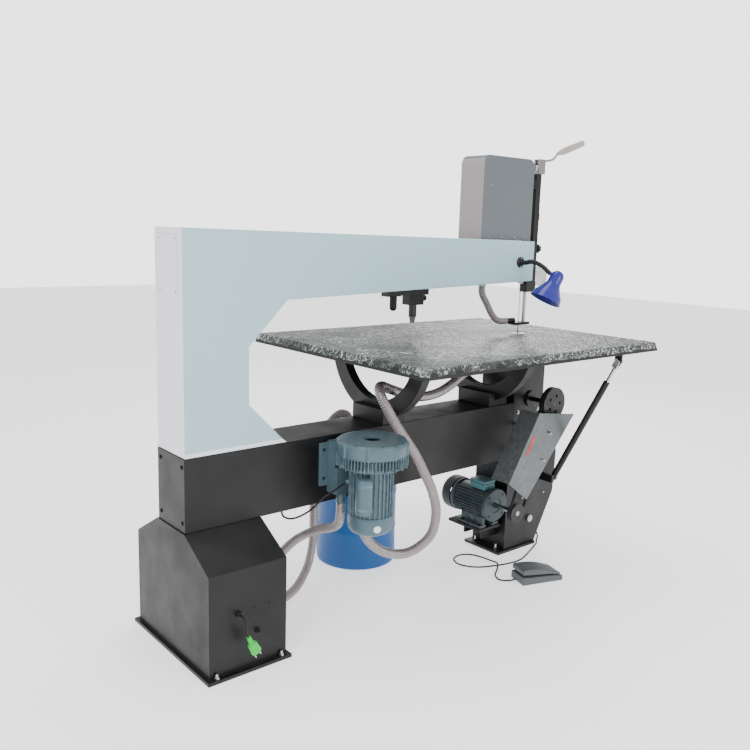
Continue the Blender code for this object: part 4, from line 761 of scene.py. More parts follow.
platework = [   # piece, CAD node, finish, edge radius, body
    ("upperFrame", "upper_frame", armPaint, 0.0035, "frame"),
    # the rear cover plate takes the painted-light white
    ("columnCover", "column_rear_cover", coverPaint, 0.0008, "frame"),
    ("rearPedestal", "rear_pedestal", blackPaint, 0.0016, "frame"),
    ("lowerBeam", "lower_beam", blackPaint, 0.003, "frame"),
    ("frontUpright", "front_upright", blackPaint, 0.0015, "frame"),
    ("driveHousing", "drive_housing", housingPaint, 0.0012, "frame"),
    ("noseBracket", "nose_bracket", darkSteel, 0.0012, "frame"),
    ("headRail", "head_rail", housingPaint, 0.0008, "frame"),
    ("headColumn", "head_column", blackedSteel, 0.001, "frame"),
    ("leverBlock", "lever_block", chrome, 0.0012, "frame"),
    ("drillBody", "drill_body", housingPaint, 0.002, "frame"),
    ("beltGuard", "belt_guard", guardPaint, 0.0006, "frame"),
    ("blowerSilencer", "blower_silencer", blowerPaint, 0.0022, "frame"),
    ("saddleRear", "trunnion_saddle_1", blackPaint, 0.0015, "frame"),
    ("saddleFront", "trunnion_saddle_2", blackPaint, 0.0015, "frame"),
    ("ringRear", "trunnion_ring_1", blackPaint, 0.0015, "table"),
    ("ringFront", "trunnion_ring_2", blackPaint, 0.0015, "table"),
    ("tableInsert", "table_insert", groundSteel, 0.0004, "table"),
    ("chipShield", "chip_shield", clearPlastic, 0.0004, "frame"),
    ("holdDownFoot", "hold_down_foot", blackedSteel, 0.0008, "hold_down"),
]
for pieceName, node, finish, edge, body in platework:
    rounded(pieceName, node, finish, edge, body)
print("platework done")


# bolts, screws and nuts

headHalf = 0.064


def addFixings():
    bm = bmesh.new()
    for y in (-0.053, 0.053):
        for z in (1.206, 1.366):
            addScrew(bm, (-0.138, y, z), (-1, 0, 0), 0.0042, 0.0022)
    addPiece("coverScrews", bm, brightSteel, "frame", angle=40)
    bm = bmesh.new()
    for y in (-0.075, 0.075):
        for z in (0.47, 0.655):
            addBolt(bm, (-0.138, y, z), (-1, 0, 0), 0.0058, 0.004, 0.009)
    for x, z in ((0.0, 0.3), (0.055, 0.3)):
        addScrew(bm, (x + 0.02, -0.2552, z - 0.09), (0, -1, 0), 0.0035, 0.002)
    addPiece("beamScrews", bm, blackedSteel, "frame", angle=40)
    bm = bmesh.new()
    for x, y in ((-0.12, -0.262), (0.12, -0.262), (-0.12, 0.262), (0.12, 0.262)):
        addBolt(bm, (x, y, 0.012), (0, 0, 1), 0.0085, 0.0085, 0.0)
        addTurned(bm, [(0, 0.031), (0.0038, 0.03), (0.0046, 0.028), (0.0046, 0.012), (0, 0.012)],
                  Matrix.Translation((x, y, 0)), 14)
    for x, y in ((1.398, -0.062), (1.398, 0.062)):
        addBolt(bm, (x, y, 0.012), (0, 0, 1), 0.0085, 0.008, 0.0)
        addTurned(bm, [(0, 0.036), (0.004, 0.035), (0.0048, 0.033), (0.0048, 0.012), (0, 0.012)],
                  Matrix.Translation((x, y, 0)), 14)
    addPiece("anchorBolts", bm, brightSteel, "frame", angle=40)
    bm = bmesh.new()
    addBolt(bm, (1.575, -0.1042, 0.13), (0, -1, 0), 0.0095, 0.0075, 0.016)
    addScrew(bm, (1.511, -0.1042, 0.24), (0, -1, 0), 0.0045, 0.0025)
    addScrew(bm, (1.66, -0.1042, 0.24), (0, -1, 0), 0.0045, 0.0025)
    for x, z in ((1.455, 0.885), (1.59, 0.885), (1.455, 0.64), (1.59, 0.64)):
        addBolt(bm, (x, -0.095, z), (0, -1, 0), 0.0055, 0.004, 0.0085)
    addPiece("uprightBolts", bm, brightSteel, "frame", angle=40)
    bm = bmesh.new()
    for x, z in ((1.462, 0.583), (1.43, 0.47)):   # domed nuts on the guard's posts
        matrix = toAxis((x, -0.2642, z), (0, -1, 0))
        addTurned(bm, [(0, 0.0012), (0.0115, 0.0012), (0.012, 0), (0, 0)], matrix, 24)
        addTurned(bm, [(0, 0.0058), (0.0085, 0.0058), (0.009, 0.005), (0.009, 0.001), (0, 0.001)], matrix, 6)
        dome = [(0, 0.014), (0.003, 0.0134), (0.0055, 0.0115), (0.007, 0.008), (0.0074, 0.005), (0, 0.005)]
        addTurned(bm, dome, matrix, 20)
    addPiece("guardNuts", bm, chrome, "frame", angle=40)
    bm = bmesh.new()
    middle, along, across = Vector((1.346, 0.543)), Vector((0.522, 0.853)), Vector((0.853, -0.522))
    corners = ((-1, -1), (1, -1), (1, 1), (-1, 1))
    stripe = [middle + along * a * 0.042 + across * b * 0.008 for a, b in corners]
    addPrism(bm, [tuple(p) for p in stripe], "xz", -0.2648, -0.264)
    addPiece("guardStripe", bm, stripeRed, "frame")
    bm = bmesh.new()
    for x in (1.24, 1.32, 1.4, 1.46):
        addScrew(bm, (x, -headHalf, 1.392), (0, -1, 0), 0.003, 0.0016)
    for z in (1.45, 1.6):
        addScrew(bm, (1.24, -headHalf, z), (0, -1, 0), 0.0026, 0.0012)
    addPiece("headScrews", bm, brightSteel, "frame", angle=40)
    bm = bmesh.new()
    for place in (0.734, 1.324):   # clamp bolts on the saddles
        for x in (-0.04, 0.04):
            for y in (-0.076, 0.076):
                addBolt(bm, (place + x, y, 0.6965), (0, 0, 1), 0.007, 0.0055, 0.01)
    addPiece("saddleBolts", bm, blackedSteel, "frame", angle=40)


addFixings()


# the white band along the frame's foot: a painted highlight

def makeFootHighlight():
    bm = bmesh.new()
    for side in (-1, 1):
        low = [(-0.1362, 0.6875), (0.244, 0.6875), (0.227, 0.7005), (-0.1362, 0.7005)]
        inner = side * 0.0948
        outer = side * 0.0955
        addPrism(bm, low, "xz", min(inner, outer), max(inner, outer))
    addPiece("footHighlightBand", bm, coverPaint, "frame", 0.0002, 1)


makeFootHighlight()
print("fixings done")


# table and its film

tableFacts = {"back": 0.499, "front": 1.829, "half": 0.5, "top": 0.975, "depth": 0.035, "flare": 0.01,
              "bladeAt": 1.534, "bladeHole": 0.036, "lap": 0.024, "step": 0.0088}


def buildFilmCreaseGlints():
    # painted highlights where the folds catch the light: thin bright lines, denser in patches
    group, _, out = startGroup("filmCreaseGlints", [], [("lines", "Float"), ("height", "Float"), ("haze", "Float")])
    place = group.nodes.new("ShaderNodeTexCoord").outputs["Object"]
    warp = group.nodes.new("ShaderNodeTexNoise")
    feed(warp, "Scale", 7.0)
    feed(warp, "Detail", 3.0)
    feed(warp, "Vector", place)
    push = group.nodes.new("ShaderNodeVectorMath")
    push.operation = "MULTIPLY_ADD"
    feed(push, 1, (0.22, 0.22, 0.22))
    feed(push, 0, warp.outputs["Color"])
    feed(push, 2, place)
    lines = None
    for scale, width in ((15.0, 0.03), (34.0, 0.055), (85.0, 0.085)):
        cells = group.nodes.new("ShaderNodeTexVoronoi")
        cells.feature = "DISTANCE_TO_EDGE"
        feed(cells, "Scale", scale)
        feed(cells, "Vector", push.outputs[0])
        line = ramp(group, cells.outputs["Distance"], width, 0.0)
        lines = line if lines is None else mathNode(group, "MAXIMUM", lines, line)
    broken = ramp(group, noiseNode(group, 70.0, 4, roughness=0.75), 0.47, 0.56)
    patches = ramp(group, noiseNode(group, 5.0, 3), 0.28, 0.5)
    creaseGlints = mathNode(group, "MULTIPLY", mathNode(group, "MULTIPLY", lines, broken), patches, clamp=True)
    mist = ramp(group, noiseNode(group, 9.0, 6, roughness=0.72), 0.42, 0.8)
    haze = mathNode(group, "MULTIPLY", mist, patches)
    feed(out, "lines", creaseGlints)
    feed(out, "height", noiseNode(group, 34.0, 5, roughness=0.7))
    feed(out, "haze", haze)
    return group


filmCreaseGlints = buildFilmCreaseGlints()


def makeFilmMaterial():
    material, tree, shader = startMaterial("wrapFilm")
    creaseGlints = groupNode(tree, filmCreaseGlints)
    tone = mixColour(tree, creaseGlints.outputs["haze"], linear((76, 82, 79)), linear((118, 124, 120)))
    # the bright lines mixed into the film's colour are painted highlights
    tone = mixColour(tree, creaseGlints.outputs["lines"], tone, linear((244, 246, 245)))
    feed(shader, "Base Color", tone)
    feed(shader, "Roughness", spread(tree, creaseGlints.outputs["haze"], 0.22, 0.4))
    cover = mathNode(tree, "ADD", mathNode(tree, "MULTIPLY", creaseGlints.outputs["haze"], 0.35), 0.38)
    cover = mathNode(tree, "ADD", cover, mathNode(tree, "MULTIPLY", creaseGlints.outputs["lines"], 0.6), clamp=True)
    feed(shader, "Alpha", cover)
    feed(shader, "Normal", bumpFrom(tree, creaseGlints.outputs["height"], 0.8, 0.004))
    feed(shader, "Specular IOR Level", 0.22)
    return material


tableSteel = paint("tableSteel", (58, 64, 61), 0.8, (0.4, 0.55), metallic=0.3, wear=0.4,
                   bare=(130, 132, 130), dust=0.0, cloud=4.0, shine=0.15)
rimBlack = paint("rimBlack", (30, 31, 31), 0.7, (0.35, 0.5), wear=0.3, bare=(90, 90, 90), dust=0.0,
                 cloud=6.0)
wrapFilm = makeFilmMaterial()


def makeTable():
    piece = rounded("tableTop", "table_top", tableSteel, 0.001, "table")
    piece.data.materials.append(rimBlack)
    for face in piece.data.polygons:   # the bevelled rim and the underside stay black
        if face.normal.z < 0.5:
            face.material_index = 1


def waviness(x, y, scale, layer):
    return noise.noise(Vector((x * scale, y * scale, layer)))


def filmLines(low, high, facts):
    count, lap = round((high - low) / facts["step"]), facts["lap"]
    inside = [low + (high - low) * i / count for i in range(count + 1)]
    return [low - lap, low - lap / 2] + inside + [high + lap / 2, high + lap]


def makeFilm():
    facts = tableFacts
    lap = facts["lap"]
    margin = 0.0006      # the film stands this far off the rim
    x0, x1, y0, y1 = facts["back"], facts["front"], -facts["half"], facts["half"]
    columns, rows = filmLines(x0, x1, facts), filmLines(y0, y1, facts)
    slope = facts["flare"] / facts["depth"]
    bm = bmesh.new()
    grid = []
    for x in columns:
        line = []
        for y in rows:
            overX = max(x0 - x, x - x1, 0)
            overY = max(y0 - y, y - y1, 0)
            over = max(overX, overY)
            wrinkle = abs(waviness(x, y, 26, 1.7)) + 0.6 * abs(waviness(x, y, 61, 5.1))
            patch = 0.5 + 0.5 * waviness(x, y, 5, 9.3)
            lift = 0.0007 + 0.0042 * wrinkle * patch
            px = min(max(x, x0), x1) + math.copysign(min(overX, lap) * slope + margin, x - 1.1) * (overX > 0)
            py = min(max(y, y0), y1) + math.copysign(min(overY, lap) * slope + margin, y) * (overY > 0)
            if over > 0:
                hem = 0.35 * waviness(x, y, 17, 3.3)
                pz = facts["top"] - over * (1 + hem)
            else:
                pz = facts["top"] + lift
            line.append(bm.verts.new((px, py, pz)))
        grid.append(line)
    for i in range(len(columns) - 1):
        for j in range(len(rows) - 1):
            middle = ((columns[i] + columns[i + 1]) / 2 - facts["bladeAt"], (rows[j] + rows[j + 1]) / 2)
            if math.hypot(*middle) < facts["bladeHole"]:
                continue
            bm.faces.new((grid[i][j], grid[i + 1][j], grid[i + 1][j + 1], grid[i][j + 1]))
    bmesh.ops.delete(bm, geom=[v for v in bm.verts if not v.link_faces], context="VERTS")
    mesh = bpy.data.meshes.new("wrapFilm")
    bm.to_mesh(mesh)
    bm.free()
    mesh.shade_smooth()
    mesh.materials.append(wrapFilm)
    film = bpy.data.objects.new("wrapFilm", mesh)
    scene.collection.objects.link(film)
    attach(film, "table")


makeTable()
makeFilm()
print("table and film done")


# dust blower

blowerFacts = {"x": 0.502, "y": -0.245, "top": 0.6955, "radius": 0.131, "fins": 64, "screws": 8,
               "motorCore": 0.0735, "motorRibs": 30, "labelTurn": -112}


def makeBlower():
    x, y, top, radius = (blowerFacts[k] for k in ("x", "y", "top", "radius"))
    low = top - 0.098
    axis = Matrix.Translation((x, y, 0))
    profile = [(0.03, top - 0.003), (0.033, top - 0.0008), (0.036, top), (radius - 0.03, top),
               (radius - 0.012, top - 0.0018), (radius - 0.005, top - 0.006), (radius - 0.0018, top - 0.012),
               (radius - 0.001, top - 0.02), (radius - 0.001, top - 0.046), (radius - 0.003, top - 0.052),
               (radius - 0.014, top - 0.056), (radius - 0.02, top - 0.06), (radius - 0.022, low),
               (0.016, low), (0.016, low + 0.012), (radius - 0.028, low + 0.012),
               (radius - 0.028, top - 0.01), (0.03, top - 0.01)]

    def lobed(angle, r, height):
        # a raised lug every 45 degrees on the outer band
        if r > radius - 0.016 and height < top - 0.004 and height > top - 0.053:
            near = abs((angle / (math.pi / 4) + 0.5) % 1 - 0.5) * math.pi / 4
            return r - 0.0038 if near > 0.075 else r
        return r

    turnedPiece("blowerHousing", "blower_housing", blowerPaint, "frame", axis, profile, 160, 34, lobed)
    bm = bmesh.new()
    count = blowerFacts["fins"]
    for i in range(count):   # the comb of cooling fins under the disc
        turn = axis @ Matrix.Rotation(2 * math.pi * i / count, 4, "Z")
        deep = 0.034 + 0.006 * (i % 3 == 0)
        addBox(bm, (radius - 0.024, -0.0014, top - 0.054 - deep), (radius - 0.003, 0.0014, top - 0.05), turn)
    addPiece("blowerFins", bm, blowerPaint, "frame", 0.0005, 1)
    bm = bmesh.new()
    for i in range(blowerFacts["screws"]):
        angle = 2 * math.pi * (i + 0.5) / blowerFacts["screws"]
        reach = radius - 0.014
        place = (x + reach * math.cos(angle), y + reach * math.sin(angle), top - 0.004)
        addScrew(bm, place, (0, 0, 1), 0.0042, 0.0034)
    addPiece("blowerScrews", bm, darkSteel, "frame", angle=40)


def makeBlowerMotor():
    x, y, top = (blowerFacts[k] for k in ("x", "y", "top"))
    high, low, bottom = top - 0.0983, top - 0.283, top - 0.341
    axis = Matrix.Translation((x, y, 0))
    core, ribs = blowerFacts["motorCore"], blowerFacts["motorRibs"]
    bm = bmesh.new()
    profile = [(0, high - 0.03), (0.016, high - 0.03), (0.016, high), (core, high), (core, high - 0.02),
               (core, low + 0.014), (0.08, low + 0.012), (0.082, low + 0.004), (0.0828, low - 0.01),
               (0.0822, low - 0.026), (0.078, low - 0.04), (0.07, low - 0.05), (0.059, low - 0.056),
               (0.045, low - 0.0578), (0, bottom)]
    addTurned(bm, profile, axis, 72)
    for i in range(ribs):
        turn = axis @ Matrix.Rotation(2 * math.pi * i / ribs, 4, "Z")
        addBox(bm, (core - 0.002, -0.0019, low + 0.013), (0.0798, 0.0019, high - 0.004), turn)
    addBolt(bm, (0.4445, -0.1955, 0.538), (-0.55, 0.25, -0.1), 0.0075, 0.014)
    motor = addPiece("blowerMotor", bm, blowerPaint, "frame", 0.0004, 1, angle=40)
    stand(motor, "blower_motor")

    px, py = x - 0.088, y - 0.068
    shell = [(0, 0.582), (0.018, 0.5815), (0.024, 0.579), (0.0275, 0.574), (0.0287, 0.568), (0.0287, 0.469),
             (0.0276, 0.462), (0.024, 0.4565), (0, 0.4552)]
    upright = Matrix.Translation((px, py, 0))
    turnedPiece("blowerCapacitor", "blower_capacitor", blowerPaint, "frame", upright, shell, 40, 40)
    bm = bmesh.new()
    across = Vector((0.068, -0.088, 0)).normalized()
    for z in (0.56, 0.478):   # straps that hold it to the motor
        ring = [(0.0293, z + 0.005), (0.0293, z - 0.005), (0.0282, z - 0.005), (0.0282, z + 0.005)]
        addTurned(bm, ring, upright, 40)
        for side in (-1, 1):
            addScrew(bm, Vector((px, py, z)) + across * side * 0.0285, across * side, 0.0035, 0.002)
    addPiece("capacitorStraps", bm, blowerPaint, "frame", angle=40)

    bm = bmesh.new()   # blank plate on the cowl, facing the front left
    facing = math.radians(blowerFacts["labelTurn"])
    normal = Vector((math.cos(facing), math.sin(facing), -0.1)).normalized()
    centre = Vector((x, y, low - 0.014)) + normal * 0.0825
    side = Vector((-math.sin(facing), math.cos(facing), 0))
    up = normal.cross(side)
    middle = bm.verts.new(centre + normal * 0.0006)
    ring = []
    for i in range(28):
        angle = 2 * math.pi * i / 28
        flat = side * 0.0135 * math.cos(angle) + up * 0.0125 * math.sin(angle)
        point = centre + flat
        radial = Vector((point.x - x, point.y - y, 0)).normalized() * 0.0832
        ring.append(bm.verts.new((x + radial.x, y + radial.y, point.z)))
    for a, b in zip(ring, ring[1:] + ring[:1]):
        bm.faces.new((middle, a, b))
    addPiece("blankLabel", bm, labelWhite, "frame", angle=60)


makeBlower()
makeBlowerMotor()
print("blower done")


# drum

drumFacts = {"place": (0.861, 0.275, 0), "radius": 0.1715, "height": 0.47, "hoops": (0.155, 0.31),
             "portAt": (0.8, 0.262, 0)}


def makeDrum():
    radius, height = drumFacts["radius"], drumFacts["height"]
    axis = Matrix.Translation(drumFacts["place"])
    profile = [(0, 0.006), (radius - 0.02, 0.006), (radius - 0.018, 0.0), (radius - 0.01, 0.0),
               (radius - 0.0035, 0.004), (radius - 0.001, 0.012), (radius - 0.0005, 0.03)]
    for z in drumFacts["hoops"]:
        profile += [(radius - 0.003, z - 0.014), (radius - 0.0016, z - 0.008), (radius - 0.0001, z),
                    (radius - 0.0016, z + 0.008), (radius - 0.003, z + 0.014)]
    profile += [(radius - 0.002, 0.44), (radius - 0.0004, 0.448), (radius - 0.0001, 0.458),
                (radius - 0.0004, 0.47), (radius - 0.004, 0.47), (radius - 0.005, 0.014), (0, 0.012)]
    turnedPiece("dustDrum", "dust_drum", drumPlastic, "frame", axis, profile[::-1], 96, 30)
    base = height + 0.0003
    bm = bmesh.new()
    lid = [(0, base + 0.009), (0.06, base + 0.009), (0.064, base + 0.012), (0.14, base + 0.012),
           (0.146, base + 0.014), (radius - 0.012, base + 0.014), (radius + 0.001, base + 0.012),
           (radius + 0.0038, base + 0.008), (radius + 0.0038, base + 0.001), (radius + 0.0025, base),
           (0, base)]
    addTurned(bm, lid, axis, 96)
    port = [(0.0135, 0.56), (0.0155, 0.56), (0.0165, 0.558), (0.0165, 0.5), (0.02, 0.494), (0.024, 0.488),
            (0.024, base + 0.004), (0.0135, base + 0.004)]
    addTurned(bm, port, Matrix.Translation(drumFacts["portAt"]), 40)
    stand(addPiece("drumLid", bm, lidPlastic, "frame", angle=30), "drum_lid")


makeDrum()


# lamp

lampFacts = {"base": (1.41, -0.095, 1.291), "joint": (1.44, -0.226, 1.254), "dome": (1.463, -0.262, 1.262),
             "rim": (1.406, -0.24, 1.145)}


def makeLamp():
    x, y, z = lampFacts["base"]
    matrix = toAxis((x, y - 0.0003, z), (0, -1, 0))
    profile = [(0, 0.0155), (0.0105, 0.0155), (0.012, 0.014), (0.0125, 0.0075), (0.0155, 0.0055),
               (0.0208, 0.0045), (0.0226, 0.0028), (0.023, 0.0), (0, 0)]
    turnedPiece("lampBase", "lamp_base", blackPlastic, "frame", matrix, profile, 48, 34)
    bm = bmesh.new()
    for dz in (-0.0172, 0.0172):
        addScrew(bm, (x, y - 0.0048, z + dz), (0, -1, 0), 0.003, 0.0018)
    addPiece("lampScrews", bm, brightSteel, "frame", angle=40)
    route = [(x, y - 0.0165, z), (x, y - 0.032, z), (x + 0.001, y - 0.055, z + 0.005),
             (x + 0.007, y - 0.08, z + 0.001), (x + 0.017, y - 0.105, z - 0.012), lampFacts["joint"]]
    path, _ = smoothRoute(route, 0.0011, 0.001)
    bm = bmesh.new()
    addTube(bm, path, lambda i, k: 0.0095 if i % 4 in (1, 2) else 0.0086, 24)
    bmesh.ops.create_uvsphere(bm, u_segments=24, v_segments=16, radius=0.0094,
                              matrix=Matrix.Translation(lampFacts["joint"]))   # ball the shade turns on
    stand(addPiece("lampNeck", bm, blackPlastic, "lamp_arm", angle=80), "lamp_neck")

    dome, rim = Vector(lampFacts["dome"]), Vector(lampFacts["rim"])
    axis = (dome - rim).normalized()
    tall = (dome - rim).length
    matrix = toAxis(rim, axis)
    outer = [(0, tall), (0.008, tall - 0.0008), (0.015, tall - 0.0034), (0.0205, tall - 0.008),
             (0.0245, tall - 0.014), (0.0268, tall - 0.0205), (0.028, tall - 0.027), (0.0283, tall - 0.03),
             (0.0283, tall - 0.05), (0.0292, tall - 0.056), (0.0315, tall - 0.063), (0.0355, tall - 0.071),
             (0.041, tall - 0.08), (0.0475, tall - 0.091), (0.054, tall - 0.101), (0.06, tall - 0.11),
             (0.0638, 0.003), (0.0656, 0.001), (0.0658, 0.0)]
    inner = [(0.064, 0.0004), (0.0618, 0.004), (0.052, tall - 0.1008), (0.0455, tall - 0.0908),
             (0.0335, tall - 0.0708), (0.0272, tall - 0.056), (0.0262, tall - 0.03), (0.0225, tall - 0.014),
             (0.0135, tall - 0.006), (0, tall - 0.004)]
    bm = bmesh.new()
    addTurned(bm, outer + inner, matrix, 64)
    joint = Vector(lampFacts["joint"])
    inward = rim + axis * (joint - rim).dot(axis) - joint
    reach = inward.length - 0.028
    inward.normalize()
    stem = [(0, reach), (0.0088, reach), (0.007, reach - 0.004), (0.007, 0.005), (0.0055, 0.0036),
            (0, 0.0036)]
    addTurned(bm, stem, toAxis(joint, inward), 28)
    stand(addPiece("lampShade", bm, lampEnamel, "lamp_head", angle=36), "lamp_shade")
    bulb = [(0, tall - 0.012), (0.012, tall - 0.014), (0.0125, tall - 0.04), (0.0135, tall - 0.05),
            (0.018, tall - 0.06), (0.023, tall - 0.07), (0.0258, tall - 0.08), (0.0258, tall - 0.088),
            (0.0225, tall - 0.097), (0.016, tall - 0.1035), (0.008, tall - 0.107), (0, tall - 0.1078)]
    turnedPiece("lampBulb", "lamp_bulb", bulbGlass, "lamp_head", matrix, bulb, 40, 40)


makeLamp()
print("drum and lamp done")


# head

headFacts = {"back": 1.194, "front": 1.504, "top": 1.716, "low": 1.3825, "corner": 0.034}


def makeHead():
    back, front, top, low, corner = headFacts.values()
    outline = [(back, low), (front, low - 0.0041)]   # the arm falls away to the front
    outline += arc((front - corner, top - corner), corner, 0, 90, 14)
    outline += arc((back + corner, top - corner), corner, 90, 180, 14)
    bm = bmesh.new()
    addPrism(bm, outline, "xz", -headHalf, headHalf)
    stand(addPiece("headCover", bm, headPaint, "frame", 0.0022, 3, angle=34), "head_cover")


knobFacts = {"place": (1.6123, 0, 1.345), "lobes": 7}


def makeKnob():
    # a star knob
    matrix = toAxis(knobFacts["place"], (1, 0, 0))

    def lobed(angle, r, height):
        if height < 0.0095 or r < 0.01:
            return r
        return r * (0.9 + 0.1 * math.cos(knobFacts["lobes"] * angle))

    profile = [(0, 0.0312), (0.009, 0.0312), (0.015, 0.0302), (0.0185, 0.028), (0.0196, 0.025),
               (0.0196, 0.014), (0.018, 0.011), (0.015, 0.01), (0.008, 0.0092), (0.006, 0.008), (0.006, 0.0),
               (0, 0)]
    turnedPiece("clampKnob", "clamp_knob", blackPlastic, "knob", matrix, profile, 98, 34, lobed)


leverFacts = {"pivot": (1.612, 1.716), "gripFrom": (1.73, 0, 1.76), "gripTo": (1.912, 0, 1.822), "ribs": 40}


def makeLever():
    px, pz = leverFacts["pivot"]
    bm = bmesh.new()
    boss = [(0, 0.0068), (0.0095, 0.0068), (0.0108, 0.0058), (0.0108, -0.0058), (0.0095, -0.0068),
            (0, -0.0068)]
    addTurned(bm, boss, toAxis((px, 0, pz), (0, 1, 0)), 40)
    route = [(px + 0.004, 0, pz + 0.001), (1.64, 0, 1.7215), (1.672, 0, 1.7275), (1.696, 0, 1.7325),
             (1.712, 0, 1.743), (1.726, 0, 1.756), (1.742, 0, 1.765)]
    path, _ = smoothRoute(route, 0.003, 0.001)
    addTube(bm, path, lambda i, k: 0.0054, 20)
    stand(addPiece("releaseLever", bm, chrome, "lever", angle=40), "blade_release_lever")

    bm = bmesh.new()   # the flat tapered grip with moulded ribs
    start, end = Vector(leverFacts["gripFrom"]), Vector(leverFacts["gripTo"])
    along = (end - start).normalized()
    up = Vector((-along.z, 0, along.x))
    length = (end - start).length
    count = leverFacts["ribs"]
    rings = []
    for i in range(count + 1):
        t = i / count
        swell = math.sin(min(t * 3.2, 1.0) * math.pi / 2)
        wide = 0.006 + 0.005 * swell - 0.001 * t
        thick = 0.0062 + 0.0105 * swell - 0.0022 * t
        if 4 < i < count - 2 and i % 2:
            wide, thick = wide * 0.975, thick * 0.93
        if i == count:
            wide, thick = wide * 0.86, thick * 0.8
        ring = []
        for k in range(24):
            angle = 2 * math.pi * k / 24
            c, s = math.cos(angle), math.sin(angle)
            square = (abs(c) ** 4 + abs(s) ** 4) ** -0.25
            point = start + along * (length * t) + Vector((0, 1, 0)) * (wide * c * square * 0.92)
            ring.append(bm.verts.new(point + up * (thick * s * square * 0.92)))
        rings.append(ring)
    for a, b in zip(rings, rings[1:]):
        for k in range(24):
            m = (k + 1) % 24
            bm.faces.new((a[k], b[k], b[m], a[m]))
    bm.faces.new(rings[0])
    bm.faces.new(rings[-1])
    addPiece("leverGrip", bm, gripPlastic, "lever", angle=50)


gripPlastic = paint("gripPlastic", (176, 160, 158), 0.88, (0.35, 0.5), wear=0.2, bare=(210, 200, 198),
                    dust=0.05, cloud=22.0)
makeHead()
makeKnob()
makeLever()
print("head done")


# drive motor

motorFacts = {"x": 1.334, "z": 0.24, "radius": 0.074, "ribs": 36}


def makeDriveMotor():
    x, z, radius = motorFacts["x"], motorFacts["z"], motorFacts["radius"]
    matrix = toAxis((x, 0, z), (0, 1, 0))
    core = radius - 0.0075
    bm = bmesh.new()
    profile = [(0.0115, 0.105), (radius - 0.002, 0.105), (radius - 0.0002, 0.102), (radius - 0.0002, 0.09),
               (core, 0.086), (core, -0.082), (radius - 0.0002, -0.086), (radius - 0.0002, -0.101),
               (radius - 0.003, -0.105), (0.034, -0.105), (0.03, -0.101), (0.0115, -0.101)]
    addTurned(bm, profile, matrix, 64)
    for i in range(motorFacts["ribs"]):   # along the shaft
        angle = 2 * math.pi * i / motorFacts["ribs"]
        turn = Matrix.Translation((x, 0, z)) @ Matrix.Rotation(angle, 4, "Y")
        if math.cos(angle) > 0.8 or math.cos(angle) < -0.78:   # clear of the box and the feet
            continue
        addBox(bm, (-0.0016, -0.084, core - 0.002), (0.0016, 0.088, radius - 0.0004), turn)
    for side in (-1, 1):
        addBox(bm, (x + side * 0.04 - 0.02, -0.072, 0.1343), (x + side * 0.04 + 0.02, 0.06, 0.1465))
        addBox(bm, (x + side * 0.034 - 0.008, -0.07, 0.144), (x + side * 0.034 + 0.008, 0.058, 0.185))
    stand(addPiece("driveMotor", bm, motorPaint, "frame", 0.0005, 1, angle=36), "drive_motor")
    bm = bmesh.new()
    addBox(bm, (x - 0.0385, -0.0685, z + 0.062), (x + 0.0285, 0.0185, z + 0.09))
    addBox(bm, (x - 0.04, -0.07, z + 0.0905), (x + 0.03, 0.02, z + 0.1038))
    addPiece("terminalBox", bm, boxPaint, "frame", 0.004, 3)
    bm = bmesh.new()
    for sx in (-0.033, 0.023):
        for sy in (-0.062, 0.012):
            addScrew(bm, (x + sx, sy, z + 0.1022), (0, 0, 1), 0.0028, 0.0016)
    for i in range(4):
        angle = math.pi / 4 + i * math.pi / 2
        place = (x + 0.06 * math.cos(angle), -0.1046, z + 0.06 * math.sin(angle))
        addBolt(bm, place, (0, -1, 0), 0.0048, 0.0036)
    for side in (-1, 1):
        for y in (-0.058, 0.046):
            addBolt(bm, (x + side * 0.05, y, 0.1462), (0, 0, 1), 0.0058, 0.005, 0.0085)
    addPiece("motorScrews", bm, darkSteel, "frame", angle=40)

    outer = [(0.012, 0.1645), (0.03, 0.165), (radius - 0.014, 0.165), (radius - 0.005, 0.161),
             (radius + 0.0005, 0.153), (radius + 0.0018, 0.145), (radius + 0.0018, 0.1055),
             (radius + 0.0003, 0.1055), (radius + 0.0003, 0.145), (radius - 0.006, 0.158),
             (radius - 0.015, 0.1632), (0.012, 0.163)]
    turnedPiece("fanCowl", "motor_fan_cowl", lidPlastic, "frame", matrix, outer, 64, 34)


makeDriveMotor()


# pedal

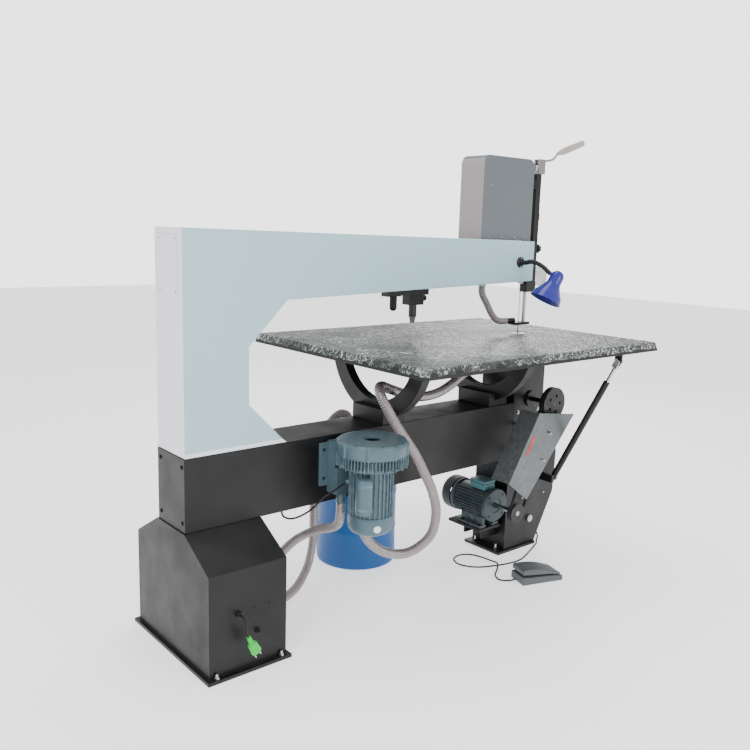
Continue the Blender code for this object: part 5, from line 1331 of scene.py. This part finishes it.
pedalFacts = {"place": (1.318, -0.362, 0), "turn": -18, "halfLength": 0.095, "halfWidth": 0.048}


def makePedal():
    turn = Matrix.Rotation(math.radians(pedalFacts["turn"]), 4, "Z")
    place = Matrix.Translation(pedalFacts["place"]) @ turn
    halfLength, halfWidth = pedalFacts["halfLength"], pedalFacts["halfWidth"]
    base = [(-halfLength, 0.0), (halfLength, 0.0), (halfLength, 0.022), (0.03, 0.0275), (-0.04, 0.03),
            (-halfLength, 0.033)]
    bm = bmesh.new()
    verts = addPrism(bm, base, "xz", -halfWidth, halfWidth)
    bmesh.ops.transform(bm, matrix=place, verts=verts)
    stand(addPiece("pedalBase", bm, pedalPlastic, "frame", 0.004, 3), "pedal_base")
    cap = [(-0.093, 0.0425), (-0.038, 0.0375), (0.032, 0.0335), (0.081, 0.0262), (0.089, 0.03),
           (0.066, 0.0402), (0.04, 0.048), (0.015, 0.0555), (-0.01, 0.06), (-0.036, 0.0627), (-0.06, 0.064),
           (-0.084, 0.064), (-0.093, 0.061)]
    bm = bmesh.new()
    verts = addPrism(bm, cap, "xz", 0.004 - halfWidth, halfWidth - 0.004)
    bmesh.ops.transform(bm, matrix=place, verts=verts)
    stand(addPiece("pedalTreadle", bm, pedalPlastic, "pedal", 0.0045, 3, angle=50), "pedal_top")


makePedal()
print("motor and pedal done")


# strut, drill, filter bowl, connecting rod and pulleys

small = [
    ("strutTube", "strut_tube", blackPaint, 0.0006, "strut_lower"),
    ("strutRod", "strut_rod", brightSteel, 0.0005, "strut_upper"),
    ("drillQuill", "drill_quill", darkSteel, 0.0006, "quill"),
    ("drillChuck", "drill_chuck", brightSteel, 0.0005, "spindle"),
    ("filterBowl", "filter_bowl", blackPlastic, 0.0012, "frame"),
    ("connectingRod", "connecting_rod", darkSteel, 0.0006, "conrod"),
    ("crankPulley", "crank_pulley", housingPaint, 0.0006, "crank"),
    ("motorPulley", "motor_pulley", housingPaint, 0.0006, "motor_rotor"),
]
for pieceName, node, finish, edge, body in small:
    rounded(pieceName, node, finish, edge, body, 1)
print("small parts done")
